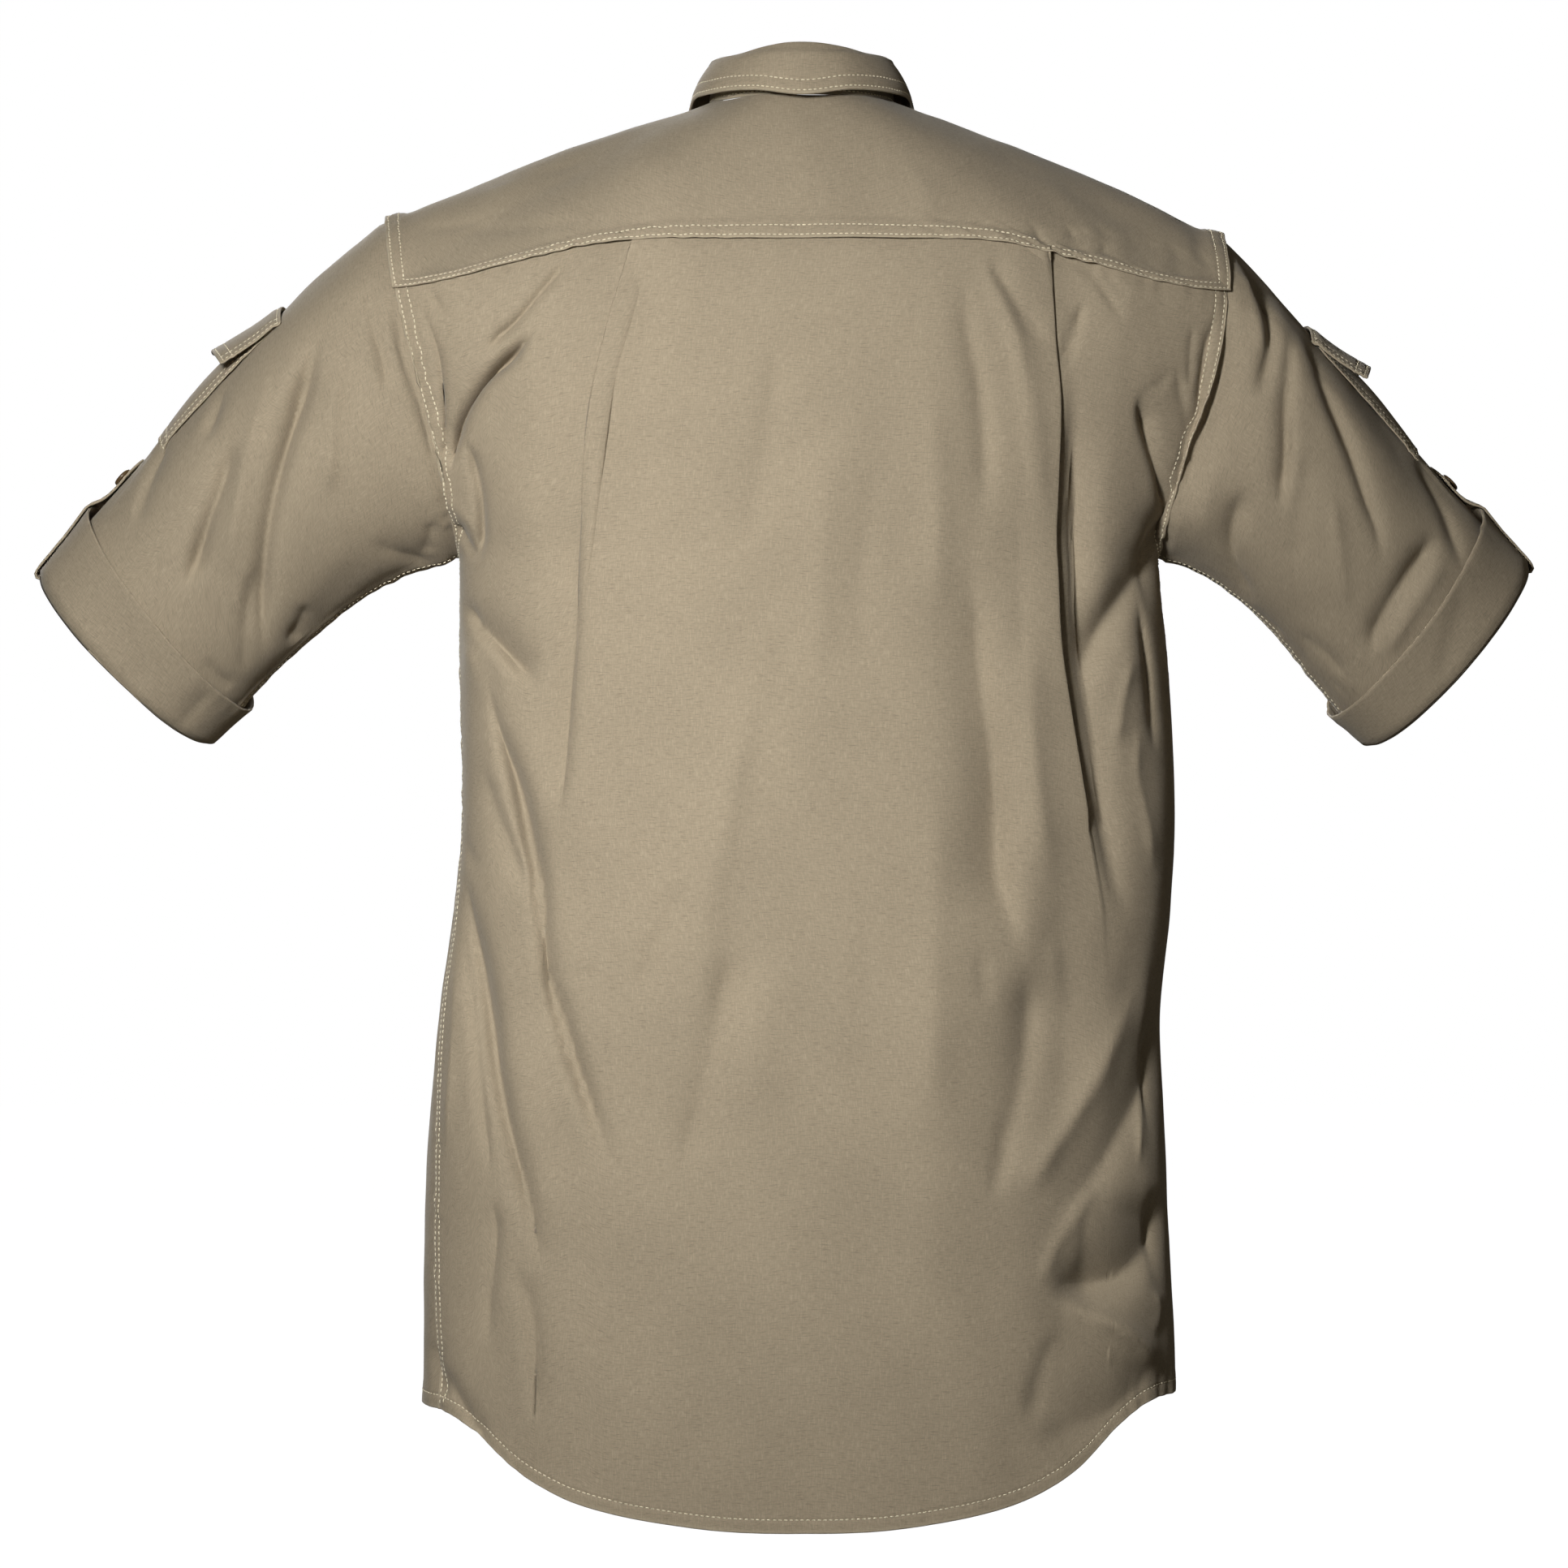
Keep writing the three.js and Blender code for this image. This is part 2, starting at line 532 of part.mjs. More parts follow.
// Solid wall on a grid of middle points (rows of columns), offset to both sides and closed at its rims.
function wall(grid, { round = false, thick = WALL } = {}) {
  const rows = grid.length;
  const cols = grid[0].length;
  const step = (a, b) => unit(sub(b, a));
  const tangent = (line, i, closed) => {
    const n = line.length;
    const before = closed ? line[(i + n - 1) % n] : line[Math.max(i - 1, 0)];
    const after = closed ? line[(i + 1) % n] : line[Math.min(i + 1, n - 1)];
    const here = line[i];
    const a = before === here ? step(here, after) : step(before, here);
    const b = after === here ? a : step(here, after);
    const sum = unit(add(a, b));
    return { sum, mitre: Math.min(1 / Math.max(dot(sum, b), 0.5), 1.35) };
  };
  const points = [[], []];
  for (let r = 0; r < rows; r++)
    for (let c = 0; c < cols; c++) {
      const across = tangent(grid[r], c, round);
      const down = tangent(grid.map((line) => line[c]), r, false);
      const n = unit(cross(across.sum, down.sum));
      const half = (thick / 2) * Math.max(across.mitre, down.mitre);
      points[0].push(add(grid[r][c], n, half));
      points[1].push(add(grid[r][c], n, -half));
    }
  const count = rows * cols;
  const at = (layer, r, c) => layer * count + r * cols + (round ? c % cols : c);
  const faces = [];
  const quad = (a, b, c, d) => faces.push(a, b, c, a, c, d);
  const lastCol = round ? cols : cols - 1;
  for (let r = 0; r < rows - 1; r++)
    for (let c = 0; c < lastCol; c++) {
      quad(at(0, r, c), at(0, r, c + 1), at(0, r + 1, c + 1), at(0, r + 1, c));
      quad(at(1, r, c), at(1, r + 1, c), at(1, r + 1, c + 1), at(1, r, c + 1));
    }
  for (let c = 0; c < lastCol; c++) {
    quad(at(0, 0, c), at(1, 0, c), at(1, 0, c + 1), at(0, 0, c + 1));
    quad(at(0, rows - 1, c), at(0, rows - 1, c + 1), at(1, rows - 1, c + 1), at(1, rows - 1, c));
  }
  if (!round)
    for (let r = 0; r < rows - 1; r++) {
      quad(at(0, r, 0), at(0, r + 1, 0), at(1, r + 1, 0), at(1, r, 0));
      quad(at(0, r, cols - 1), at(1, r, cols - 1), at(1, r + 1, cols - 1), at(0, r + 1, cols - 1));
    }
  const all = [...points[0], ...points[1]];
  let volume = 0;
  for (let i = 0; i < faces.length; i += 3)
    volume += dot(all[faces[i]], cross(all[faces[i + 1]], all[faces[i + 2]]));
  if (volume < 0)
    for (let i = 0; i < faces.length; i += 3)
      [faces[i + 1], faces[i + 2]] = [faces[i + 2], faces[i + 1]];
  const geometry = new THREE.BufferGeometry();
  geometry.setAttribute("position", new THREE.Float32BufferAttribute(all.flat(), 3));
  geometry.setIndex(faces);
  return geometry;
}

// Values from one end to the other in equal steps.
const steps = (from, to, count) =>
  Array.from({ length: count + 1 }, (_, i) => mix(from, to, i / count));

const shirt = new THREE.Group();
const cloth = new THREE.MeshStandardMaterial({ color: CLOTH_COLOUR, roughness: 0.9 });
const horn = new THREE.MeshStandardMaterial({ color: BUTTON_COLOUR, roughness: 0.45 });
function piece(name, geometry, material = cloth) {
  const mesh = new THREE.Mesh(geometry, material);
  mesh.name = name;
  shirt.add(mesh);
  return mesh;
}

// Across one pleat: where the cloth goes from the panel round its fold, under it and out again.
function pleatPath(underlay, step) {
  const r = PLEAT_STEP / 2;
  const open = mix(r, -1.5 * r, smooth((2 - underlay) / 5));
  const turn = [
    ...PLEAT_PANEL.map((across) => [across, 0]),
    [-r, 0],
    [0, -r],
    [-open, -2 * r],
    [-underlay + open, -2 * r],
    [-underlay, -3 * r],
    [-underlay + r, -4 * r],
  ];
  return turn.map(([across, level]) => [across, level * step]);
}

// Row of the back: the middle panel, both pleats and the cloth out to the sides.
function backRow(row) {
  const middle = backForm(0, row)[2];
  const fold = (table, side) => {
    const x = read(table, "z", "x", middle);
    const width = Math.abs(backForm(side * 90, row)[0]);
    const angle = Math.asin((x / width) ** (SQUARENESS / 2)) / RAD;
    return {
      side,
      angle,
      underlay: read(table, "z", "underlay", middle),
      step: read(table, "z", "step", middle),
    };
  };
  const left = fold(PLEAT_LEFT, 1);
  const right = fold(PLEAT_RIGHT, -1);
  const sideAngle = (side) => {
    if (row <= 1) return 90;
    return read(BODY, "z", side > 0 ? "seam_l" : "seam_r", mix(UNDERARM_Z, sideHem(side), row - 1));
  };
  const seamAngle = SEAM / 2 / SIDE_RADIUS / RAD + (row > 1 ? 0 : ARMHOLE_EASE_DEG);
  const half = ({ side, angle, underlay, step }) => {
    const degree = 2 * Math.hypot(...sub(backForm(angle + 0.5, row), backForm(angle, row)));
    const line = pleatPath(underlay, step).map(([across, depth]) =>
      onBack(side * (angle + across / degree), row, depth),
    );
    const end = sideAngle(side) - seamAngle;
    const start = angle + PLEAT_CLEAR_DEG;
    for (const t of steps(0, 1, GRID.back_side_columns)) {
      const a = mix(start, end, t);
      const away = (a - angle) * RAD * MEAN_RADIUS;
      const dip = -2 * PLEAT_STEP * step * (1 - smooth(away / PLEAT_SPREAD));
      line.push(onBack(side * a, row, dip));
    }
    return line;
  };
  const inner = steps(-1, 1, GRID.back_middle_columns).slice(1, -1);
  const centre = inner.map((t) => {
    const fold = t < 0 ? right.angle : left.angle;
    return onBack(t * (fold - PLEAT_PANEL_DEG), row);
  });
  return [...half(right).reverse(), ...centre, ...half(left)];
}
const backRows = [
  ...steps(SEAM_ROW, 1, GRID.upper_rows),
  ...steps(1, 2, GRID.back_lower_rows).slice(1),
];
piece("back", wall(backRows.map(backRow)));

// Yoke
const yokeEnd = 1 - YOKE_SEAM_ACROSS;
const yokeColumns = steps(-yokeEnd, yokeEnd, GRID.yoke_columns);
const yokeRows = steps(YOKE_SEAM_NECK, 1 - YOKE_SEAM_OUT, GRID.yoke_rows);
piece("yoke", wall(yokeRows.map((out) => yokeColumns.map((a) => onYoke(a, out, YOKE_PROUD)))));

// Fronts: the left one laps over the right one at the centre front
const frontRows = [
  ...steps(SEAM_ROW, 1, GRID.upper_rows),
  ...steps(1, 2, GRID.front_lower_rows).slice(1),
];
// Share of a front that lies at a distance from the centre front.
function shareAt(side, row, distance) {
  let low = 0.5;
  let high = 1;
  for (let i = 0; i < 18; i++) {
    const middle = (low + high) / 2;
    if (Math.abs(frontForm(side, middle, row)[0]) > distance) low = middle;
    else high = middle;
  }
  return low;
}
// Point of a front near its edge, at a distance before (positive) or past the centre front.
function edgePoint(side, row, distance, off = 0) {
  if (distance > 0) return onFront(side, shareAt(side, row, distance), row, off);
  return add(onFront(side, 1, row, off), [side * distance, 0, 0]);
}
const leftEdge = (row, distance, off) => edgePoint(1, row, distance, off);
const panelPart = (side, row, edge) =>
  steps(SEAM_SHARE, shareAt(side, row, edge), GRID.front_columns).map((share) => onFront(side, share, row));
const leftFront = frontRows.map((row) => [
  ...panelPart(1, row, BAND_HALF_WIDTH),
  ...LEFT_EDGE.map((d) => leftEdge(row, d, 0)),
]);
piece("front_left", wall(leftFront));
const rightFront = frontRows.map((row) => [
  ...panelPart(-1, row, RIGHT_PANEL_EDGE),
  edgePoint(-1, row, RIGHT_STEP_EDGE, -UNDER / 2),
  ...RIGHT_EDGE.map((d) => leftEdge(row, d, -UNDER)),
]);
piece("front_right", wall(rightFront));

// Front band on the edge of the left front, its middle on the centre front
const bandGrid = frontRows.map((row) => BAND.map((d) => leftEdge(row, d, LIFT)));
piece("front_band", wall(bandGrid));
// Row of the centre front at a height.
function rowAt(z) {
  let low = 0;
  let high = 2;
  for (let i = 0; i < 20; i++) {
    const middle = (low + high) / 2;
    if (frontForm(1, 1, middle)[2] > z) low = middle;
    else high = middle;
  }
  return low;
}

// Collar stand, its left end over its right one
const standEnd = 180 + COLLAR_OVERLAP_DEG;
const standRows = steps(0, 1, GRID.stand_rows);
const neckOut = (angle) => unit([Math.sin(angle * RAD), Math.cos(angle * RAD), 0]);
function standPoint(angle, share) {
  const a = Math.min(Math.abs(angle), 360 - Math.abs(angle));
  const foot = mix(STAND_FOOT.back, STAND_FOOT.front, smooth((a - 150) / 20));
  const height = mix(foot, read(NECK, "angle", "stand", a), share);
  const over = smooth((Math.abs(angle) - 150) / 25) * Math.sign(angle) * (UNDER / 2);
  const p = add(neck(angle), neckOut(angle), over - STAND_LEAN * share);
  return [p[0], p[1], p[2] + height];
}
const standColumns = steps(-standEnd, standEnd, GRID.stand_columns);
piece("collar_stand", wall(standRows.map((t) => standColumns.map((a) => standPoint(a, t)))));

// Collar: it rises from the stand, folds over and falls outside it on to the yoke and the fronts
function collarEdge(angle) {
  const side = angle < 0 ? -1 : 1;
  const a = Math.abs(angle);
  const reach = read(NECK, "angle", "reach", a);
  const off = read(NECK, "angle", "stand_off", a);
  const past = (a - YOKE_SHOULDER_DEG) / (YOKE_NECK_END_DEG - YOKE_SHOULDER_DEG);
  if (past < 1) {
    const behind = (a / YOKE_SHOULDER_DEG) * YOKE_BACK_SHARE;
    const t = past < 0 ? behind : mix(YOKE_BACK_SHARE, 1, past);
    const length = Math.hypot(...sub(yokeForm(side * t, 1), yokeForm(side * t, 0)));
    return onYoke(side * t, reach / length, off);
  }
  const t = (a - YOKE_NECK_END_DEG) / (180 - YOKE_NECK_END_DEG);
  const share = mix(NECK_SHARE, 1, t) - 0.2 * t * t;
  const length = Math.hypot(...sub(frontForm(side, share, 1), frontForm(side, share, 0)));
  return onFront(side, share, reach / length, off);
}
function collarLine(angle) {
  const top = standPoint(angle, 1);
  const out = neckOut(angle);
  const edge = collarEdge(angle);
  const line = COLLAR_ROLL.map(({ away, height }) => {
    const p = add(top, out, away);
    return [p[0], p[1], p[2] + height];
  });
  const start = line[line.length - 1];
  for (const t of steps(0, 1, GRID.collar_fall_rows).slice(1)) {
    const p = mixPoint(start, edge, t);
    line.push(add(p, out, 4 * t * (1 - t) * COLLAR_SWELL));
  }
  return line;
}
const collarAngles = steps(-COLLAR_END_DEG, COLLAR_END_DEG, GRID.collar_columns);
const collarColumns = collarAngles.map(collarLine);
piece("collar", wall(collarColumns[0].map((_, r) => collarColumns.map((line) => line[r]))));

// Sleeve walls, cuffs, pockets, flaps and tabs
const pocketSwell = (k, along) => {
  const across = clamp((k - POCKET.from) / (POCKET.to - POCKET.from), 0, 1);
  const down = clamp((along - POCKET.top) / (POCKET.end - POCKET.top), 0, 1);
  return POCKET.bulge * Math.sin(Math.PI * across) * Math.sin(Math.PI * down);
};
// Button lying on cloth whose middle is at a point.
function button(name, seat, normal) {
  const profile = BUTTON_PROFILE.map(
    ({ radius, height }) => new THREE.Vector2(radius * BUTTON_RADIUS, height * BUTTON_THICK),
  );
  const mesh = piece(name, new THREE.LatheGeometry(profile, BUTTON_SIDES), horn);
  const way = new THREE.Vector3(...normal);
  mesh.quaternion.setFromUnitVectors(new THREE.Vector3(0, 1, 0), way);
  mesh.position.set(...add(seat, normal, WALL / 2 + BUTTON_GAP));
}
const roundSteps = steps(0, ROUND, GRID.sleeve_columns).slice(0, -1);
function sleeveStart(k) {
  const under = Math.sqrt((1 + Math.cos((k / ROUND) * 2 * Math.PI)) / 2);
  return mix(SLEEVE_GAP.over, SLEEVE_GAP.under, under) / SLEEVE_LENGTH;
}
const cuffLine = (side, k) => CUFF_PATH.map(({ along, off }) => onSleeve(side, k, along, off));
for (const [name, side] of [
  ["left", 1],
  ["right", -1],
]) {
  const rows = steps(0, 1, GRID.sleeve_rows).map((t) =>
    roundSteps.map((k) => onSleeve(side, k, mix(sleeveStart(k), SLEEVE_END, t))),
  );
  piece("sleeve_" + name, wall(rows, { round: true }));
  const cuff = roundSteps.map((k) => cuffLine(side, k));
  piece("cuff_" + name, wall(cuff[0].map((_, r) => cuff.map((l) => l[r])), { round: true }));

  const pocketRows = steps(POCKET.top, POCKET.end, GRID.pocket).map((along) =>
    steps(POCKET.from, POCKET.to, GRID.pocket).map((k) =>
      onSleeve(side, k, along, POCKET.off + pocketSwell(k, along)),
    ),
  );
  piece("pocket_" + name, wall(pocketRows));

  const flapRows = steps(0, 1, GRID.flap_rows).map((t) =>
    steps(-1, 1, GRID.pocket).map((across) => {
      const k = mix(FLAP.from, FLAP.to, (across + 1) / 2);
      const along = mix(FLAP.top, FLAP.end, t) + FLAP.point * (1 - Math.abs(across)) * t;
      const over = LIFT * (1 + smooth(t * 8)) + FLAP.proud * t * t + FLAP.off;
      return onSleeve(side, k, along, over + pocketSwell(k, along));
    }),
  );
  piece("flap_" + name, wall(flapRows));

  const across = TAB.half_width / TAB_STRETCH;
  const tabRows = TAB_PATH.map(({ along, off }, i) =>
    TAB_COLUMNS.map((c) => {
      const toTip = Math.max(0, 1 - (TAB_PATH.length - 1 - i) / 2);
      const tip = (1 - Math.abs(c)) * TAB.tip * toTip;
      return onSleeve(side, TAB.middle + c * across, along - tip / SLEEVE_LENGTH, off);
    }),
  );
  piece("tab_" + name, wall(tabRows));
  const level = TAB_PATH.at(-1).off;
  const seat = onSleeve(side, TAB.middle, TAB.button, level);
  const above = onSleeve(side, TAB.middle, TAB.button, level + 1);
  button("tab_button_" + name, seat, unit(sub(above, seat)));
}

// Buttons down the front and one on the collar stand
for (const i of steps(0, BUTTON_ROWS - 1, BUTTON_ROWS - 1)) {
  const z = BUTTON_TOP_Z - BUTTON_STEP * i;
  const row = rowAt(z);
  const seat = leftEdge(row, 0, LIFT);
  button("front_button_" + (i + 1), seat, unit(sub(leftEdge(row, 0, LIFT + 1), seat)));
}
const standSeat = standPoint(180, STAND_BUTTON);
const standRound = sub(standPoint(184, STAND_BUTTON), standPoint(176, STAND_BUTTON));
const standRise = sub(standPoint(180, 1), standPoint(180, 0));
button("collar_button", standSeat, unit(cross(standRise, standRound)));

export default shirt;
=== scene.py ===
"""Safari shirt: cloth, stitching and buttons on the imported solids, in metres. Tables are in millimetres."""
import math

import bpy
import numpy as np
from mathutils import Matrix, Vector


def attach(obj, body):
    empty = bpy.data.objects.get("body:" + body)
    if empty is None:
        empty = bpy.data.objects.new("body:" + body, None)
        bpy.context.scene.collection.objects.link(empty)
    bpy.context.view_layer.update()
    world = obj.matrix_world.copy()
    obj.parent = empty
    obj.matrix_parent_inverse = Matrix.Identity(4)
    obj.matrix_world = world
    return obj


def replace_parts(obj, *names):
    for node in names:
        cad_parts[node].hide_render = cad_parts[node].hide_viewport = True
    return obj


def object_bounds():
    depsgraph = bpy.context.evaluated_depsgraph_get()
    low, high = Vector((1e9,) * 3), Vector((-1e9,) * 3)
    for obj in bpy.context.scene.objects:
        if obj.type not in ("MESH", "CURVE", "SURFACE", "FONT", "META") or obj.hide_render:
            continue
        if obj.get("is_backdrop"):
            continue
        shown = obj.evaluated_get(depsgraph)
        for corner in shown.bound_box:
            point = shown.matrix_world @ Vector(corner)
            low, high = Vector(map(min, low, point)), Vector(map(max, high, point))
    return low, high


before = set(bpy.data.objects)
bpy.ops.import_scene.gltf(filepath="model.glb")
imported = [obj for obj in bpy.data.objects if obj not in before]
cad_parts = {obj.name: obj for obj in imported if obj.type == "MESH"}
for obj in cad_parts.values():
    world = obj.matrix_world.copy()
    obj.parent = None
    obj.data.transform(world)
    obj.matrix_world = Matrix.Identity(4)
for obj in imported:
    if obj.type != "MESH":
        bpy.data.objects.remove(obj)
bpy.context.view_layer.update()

MM = 0.001
RAD = math.pi / 180
THICK = 0.8  # cloth, one layer
DOUBLE = 1.5  # two layers sewn together
PITCH = 3.0  # one stitch to the next
STITCH = 2.25
THREAD_RADIUS = 0.42
STEP = 3.6  # grid step away from seams
LONG = 3.1
FINE = 1.6
INSIDE = 1.0  # how far the plainer inside of the large pieces lies behind
ROW_A = 1.8  # stitch rows from a seam edge
ROW_B = 7.6
HEM_ROW = 7.0

# The photograph's scale and camera
SCALE = 0.45  # millimetres to a pixel in the middle plane
PHOTO = 1932
DISTANCE = 3500
AIM = (9.9, -376.2)


def table(text):
    """Columns by name, from a line of names and lines of numbers."""
    names, *rows = (line.split() for line in text.strip().splitlines())
    return dict(zip(names, np.array(rows, float).T))


def folds(text):
    """Folds, one to a line: reach to the left and to the right, height, and the points of the path."""
    made = []
    for line in text.strip().splitlines():
        size, path = line.split(":")
        made.append((*map(float, size.split()), [point.split(",") for point in path.split()]))
    return made


# Neck and collar
NECK_HALF_WIDTH = 51
NECK_HALF_DEPTH = 62
NECK_CENTRE_Y = -8
STAND_END_DEG = 189
COLLAR_END_DEG = 172
COLLAR_SWELL = 1.6
COLLAR_SETTLES_Z, COLLAR_SETTLES = 20, 0.45  # its top is lower by this share above this height
STAND_LEAN = 3
NECK = table("""
angle z stand reach stand_off
0 0 32 8 9
45 0 23.5 8 8
90 -3 20 10 5.5
120 -21 19 24 4
150 -46 19 44 3.6
180 -60 19 66 3.6
""")
COLLAR_ROLL = table("""
away height
0 0.9
0.2 2.6
1.3 4
2.9 3.4
3.6 1.2
""")

# Armhole seams, 12 stretches from the underarm up the back, over the shoulder and down the front
ARMHOLE = table("""
left right y zl zr
189 197 0 -252 -252
192 200 40 -232 -234
199 210 62 -195 -195
211 226 68 -147 -150
222 232 60 -106 -108
227 232 34 -76 -84
229 231 -2 -63 -72
225 227 -36 -75 -84
217 220 -54 -96 -106
204 208 -68 -140 -146
193 199 -64 -195 -195
188 196 -38 -234 -236
""")
ROUND = 12
YOKE_BACK_END = 4
YOKE_FRONT_END = 8

# Body below the underarm
BODY = table("""
z left right back front seam_l seam_r
-252 189 197 118 128 90 90
-300 189 201 114 129 89 91
-390 188 206 109 126 86 93
-445 192 203 108 124 83 94
-500 200 199 110 123 80 95
-555 205 200 113 124 77 96
-610 208 202 117 125 74 97
-690 209 206 121 127 71 98
-790 210 206 124 128 70 99
""")
SQUARENESS = 2.4
UNDERARM_Z = -252
HEM_BACK_Z = -777
HEM_FRONT_Z = -764
HEM_SIDE_Z = {1: -717, -1: -711}
HEM_RISE = table("""
angle share
0 0
12 0.04
30 0.22
42 0.47
53 0.78
64 0.96
76 1
90 1
""")

# Yoke
YOKE_DROP_Z = -82
YOKE_SLANT = 25
YOKE_BACK_Y = 102
YOKE_NECK_END_DEG = 112
YOKE_SHOULDER_DEG = 62
YOKE_ROUND_BACK = 10
YOKE_ROUND_FRONT = 6
YOKE_ROUND_TOP = 11
YOKE_PROUD = 0.9
YOKE_BLURS = (36, 110)  # along its columns and rows
YOKE_BLUR_BORDER = 18
YOKE_END_SINKS, YOKE_END_WIDTH = 2.4, 32
YOKE_RIM_SINKS, YOKE_RIM_WIDTH = 1.3, 14
YOKE_SEAM_WIDTH = 40  # its ends sink less along the seams
YOKE_BACK_SHARE = 0.56
NECK_SHARE = 0.42

# Pleats: the fold's x, its underlay, its step and how far its edge lifts off
PLEAT_HALF = 0.9
PLEAT_SPREAD = 45  # the cloth beside a pleat comes up to the panel over this width
PLEAT_BEYOND = 13.0  # from a fold to the cloth's evenly spaced columns
BACK_DEGREE = 3.32  # length of a degree of the back, taken as even
PLEAT_LEFT = table("""
z x underlay step lift
-60 88 14 0.5 0
-92 94.5 14 0.5 0
-129 103 13 0.45 0
-165 110.5 12 0.4 0
-200 116 11 0.35 0
-260 120.5 6 0.3 0
-304 122 0 0.3 0
-374 129 -7 0.2 0
-430 134 -8 0 0
-520 140 -8 0 0
-800 142 -8 0 0
""")
PLEAT_RIGHT = table("""
z x underlay step lift
-60 134 14 0.5 0
-92 135 14 0.5 0
-140 136 14 0.6 0.2
-197 136.3 13 0.85 1.0
-260 137 12 1 2.4
-304 139 11 1 3
-347 145.5 8 1 3
-391 152.5 3 0.9 2
-430 160 -5 0.5 0.8
-480 166 -8 0.1 0.1
-560 168 -8 0 0
-800 168 -8 0 0
""")

# Folds in the cloth, in pixels of the photograph: reach to the left and to the right of a path that runs
# down, height out of the cloth in millimetres, and the path. Those of the front are in a like view of it.
FOLDS_BACK = folds("""
8 9 -15: 662,404 630,438 603,464 582,494 567,524 560,552 556,585
6 8 -6: 704,314 672,352 640,390 614,414 590,440
5 6 -4.5: 514,368 530,408 541,440 547,490 548,545 546,600
7 8 -2.8: 528,358 540,376 551,396
7 8 -1.2: 584,350 567,370 555,396
7 8 -8: 574,540 584,575 591,610 593,650 592,700
6 8 2: 548,606 562,626 580,645 592,672
7 9 -5: 556,640 570,664 590,692
16 14 -2.4: 797,350 786,400 774,446 762,500 756,560 750,620
30 10 -6: 712,620 712,700 708,780 701,860 695,950 688,1030
9 12 2.4: 728,430 728,520 727,620 723,720 718,820
9 9 -0.9: 712,336 708,370 706,405
55 55 3: 655,400 655,550 645,700
8 26 -10: 562,738 590,772 615,798 640,825 664,852
12 12 2.2: 572,790 588,826 598,866
9 15 -12: 601,822 607,868 619,916 634,966 648,1028 660,1085 669,1150 675,1208 690,1262 708,1318 730,1380 \
    749,1432 762,1462
18 10 -4: 596,940 612,1000 630,1050 650,1106
8 8 -1.4: 570,1022 580,1052 594,1076
14 18 -12: 572,1066 580,1130 590,1190 600,1250 610,1320 622,1378 636,1430 650,1482 662,1530 668,1570
9 9 -3.8: 566,1146 577,1210 585,1280 592,1350 600,1410 606,1460
8 10 2.2: 562,1170 560,1240 556,1330 550,1430
9 20 -5: 628,1556 644,1590 652,1630 658,1690 660,1760
14 10 -4: 608,1470 612,1530 604,1590 600,1660
8 8 -4: 530,1650 542,1690 552,1728
9 14 -4.6: 546,1682 566,1726 590,1762 606,1786
8 6 -1.2: 745,1196 716,1203 684,1202
20 20 -5.5: 908,1150 898,1215 884,1280 868,1345 850,1415 842,1460
16 16 -2.6: 842,1080 822,1135 800,1185 788,1240
30 26 3: 950,740 915,900 888,1040 862,1180 846,1310
16 18 1.4: 946,1170 936,1270 926,1390
14 14 -1.2: 1002,1180 992,1290 976,1400
34 40 4: 1150,960 1150,1180 1146,1420
20 20 -1.2: 1058,1060 1070,1240 1076,1420
24 24 -2.8: 958,400 952,500 935,600 915,700
28 28 2.6: 1016,520 1012,680 1002,860
26 30 3: 1150,470 1152,620 1158,770
20 20 -1.2: 1085,540 1065,680 1060,820
18 18 -1: 860,420 845,560 850,700
14 14 -1.2: 870,1700 862,1750 856,1800
20 14 -4: 1190,330 1192,400 1206,460 1214,540 1216,640
16 16 4: 1200,300 1224,350 1246,400 1262,460 1276,560 1286,660
8 12 -3.4: 1218,318 1240,356 1264,396 1290,428
44 20 -11: 1190,690 1204,760 1212,850 1224,920 1230,1000 1232,1070 1246,1130 1262,1190
26 24 5: 1268,760 1270,880 1280,1000 1292,1100
36 24 -6.5: 1262,1180 1270,1240 1262,1320 1246,1400 1230,1480
7 7 -2.2: 1212,1170 1212,1210 1216,1240
6 6 -2.4: 1240,1370 1234,1430 1222,1490
14 14 1.8: 1300,1150 1302,1200 1310,1250
8 36 -10.5: 1320,440 1322,520 1324,600 1327,700 1332,780 1340,860 1350,940 1360,1020 1374,1090 1396,1150
7 7 -4: 1336,372 1328,404 1319,430 1312,456
6 9 -1.8: 1322,318 1348,340 1370,374 1388,402
6 8 -1.2: 1356,326 1372,350 1392,372
6 14 -9: 1399,484 1408,522 1419,562 1429,602 1438,640
8 10 -1: 1400,488 1424,478 1446,452
8 8 -4.6: 1500,384 1486,426 1480,470 1476,506 1462,548
8 8 -2: 1448,440 1454,480 1462,520 1456,566 1444,600
6 6 -1.8: 1470,400 1466,440 1466,480
26 36 -11: 1446,590 1432,650 1410,694 1386,734 1362,772 1346,808 1338,850
10 8 -6: 1404,730 1412,800 1417,860 1422,930
10 10 2.4: 1398,800 1384,860 1376,920
10 10 2.4: 1404,890 1402,950 1416,1020 1420,1080
22 20 5: 1404,1206 1384,1262 1352,1332 1320,1386 1288,1436 1260,1484
40 30 -8.5: 1446,1230 1424,1310 1398,1370 1366,1426 1334,1470 1300,1500
10 10 2.6: 1352,1462 1322,1508 1296,1548 1284,1590
60 26 -14.5: 1446,1462 1424,1524 1390,1570 1344,1588 1290,1582
14 14 6: 1296,1602 1340,1618 1376,1634 1404,1654 1424,1678 1440,1696
9 9 2: 1424,1586 1430,1618 1418,1644
5 6 2: 1432,1286 1414,1336 1408,1392 1406,1440
10 30 -3.5: 1300,1640 1280,1700 1270,1760
64 50 -9: 1430,1660 1404,1710 1364,1744 1320,1762 1270,1790
100 110 -9: 1306,1040 1312,1200 1314,1400 1312,1600 1310,1800
60 60 -4: 650,1180 690,1340 700,1500
""")
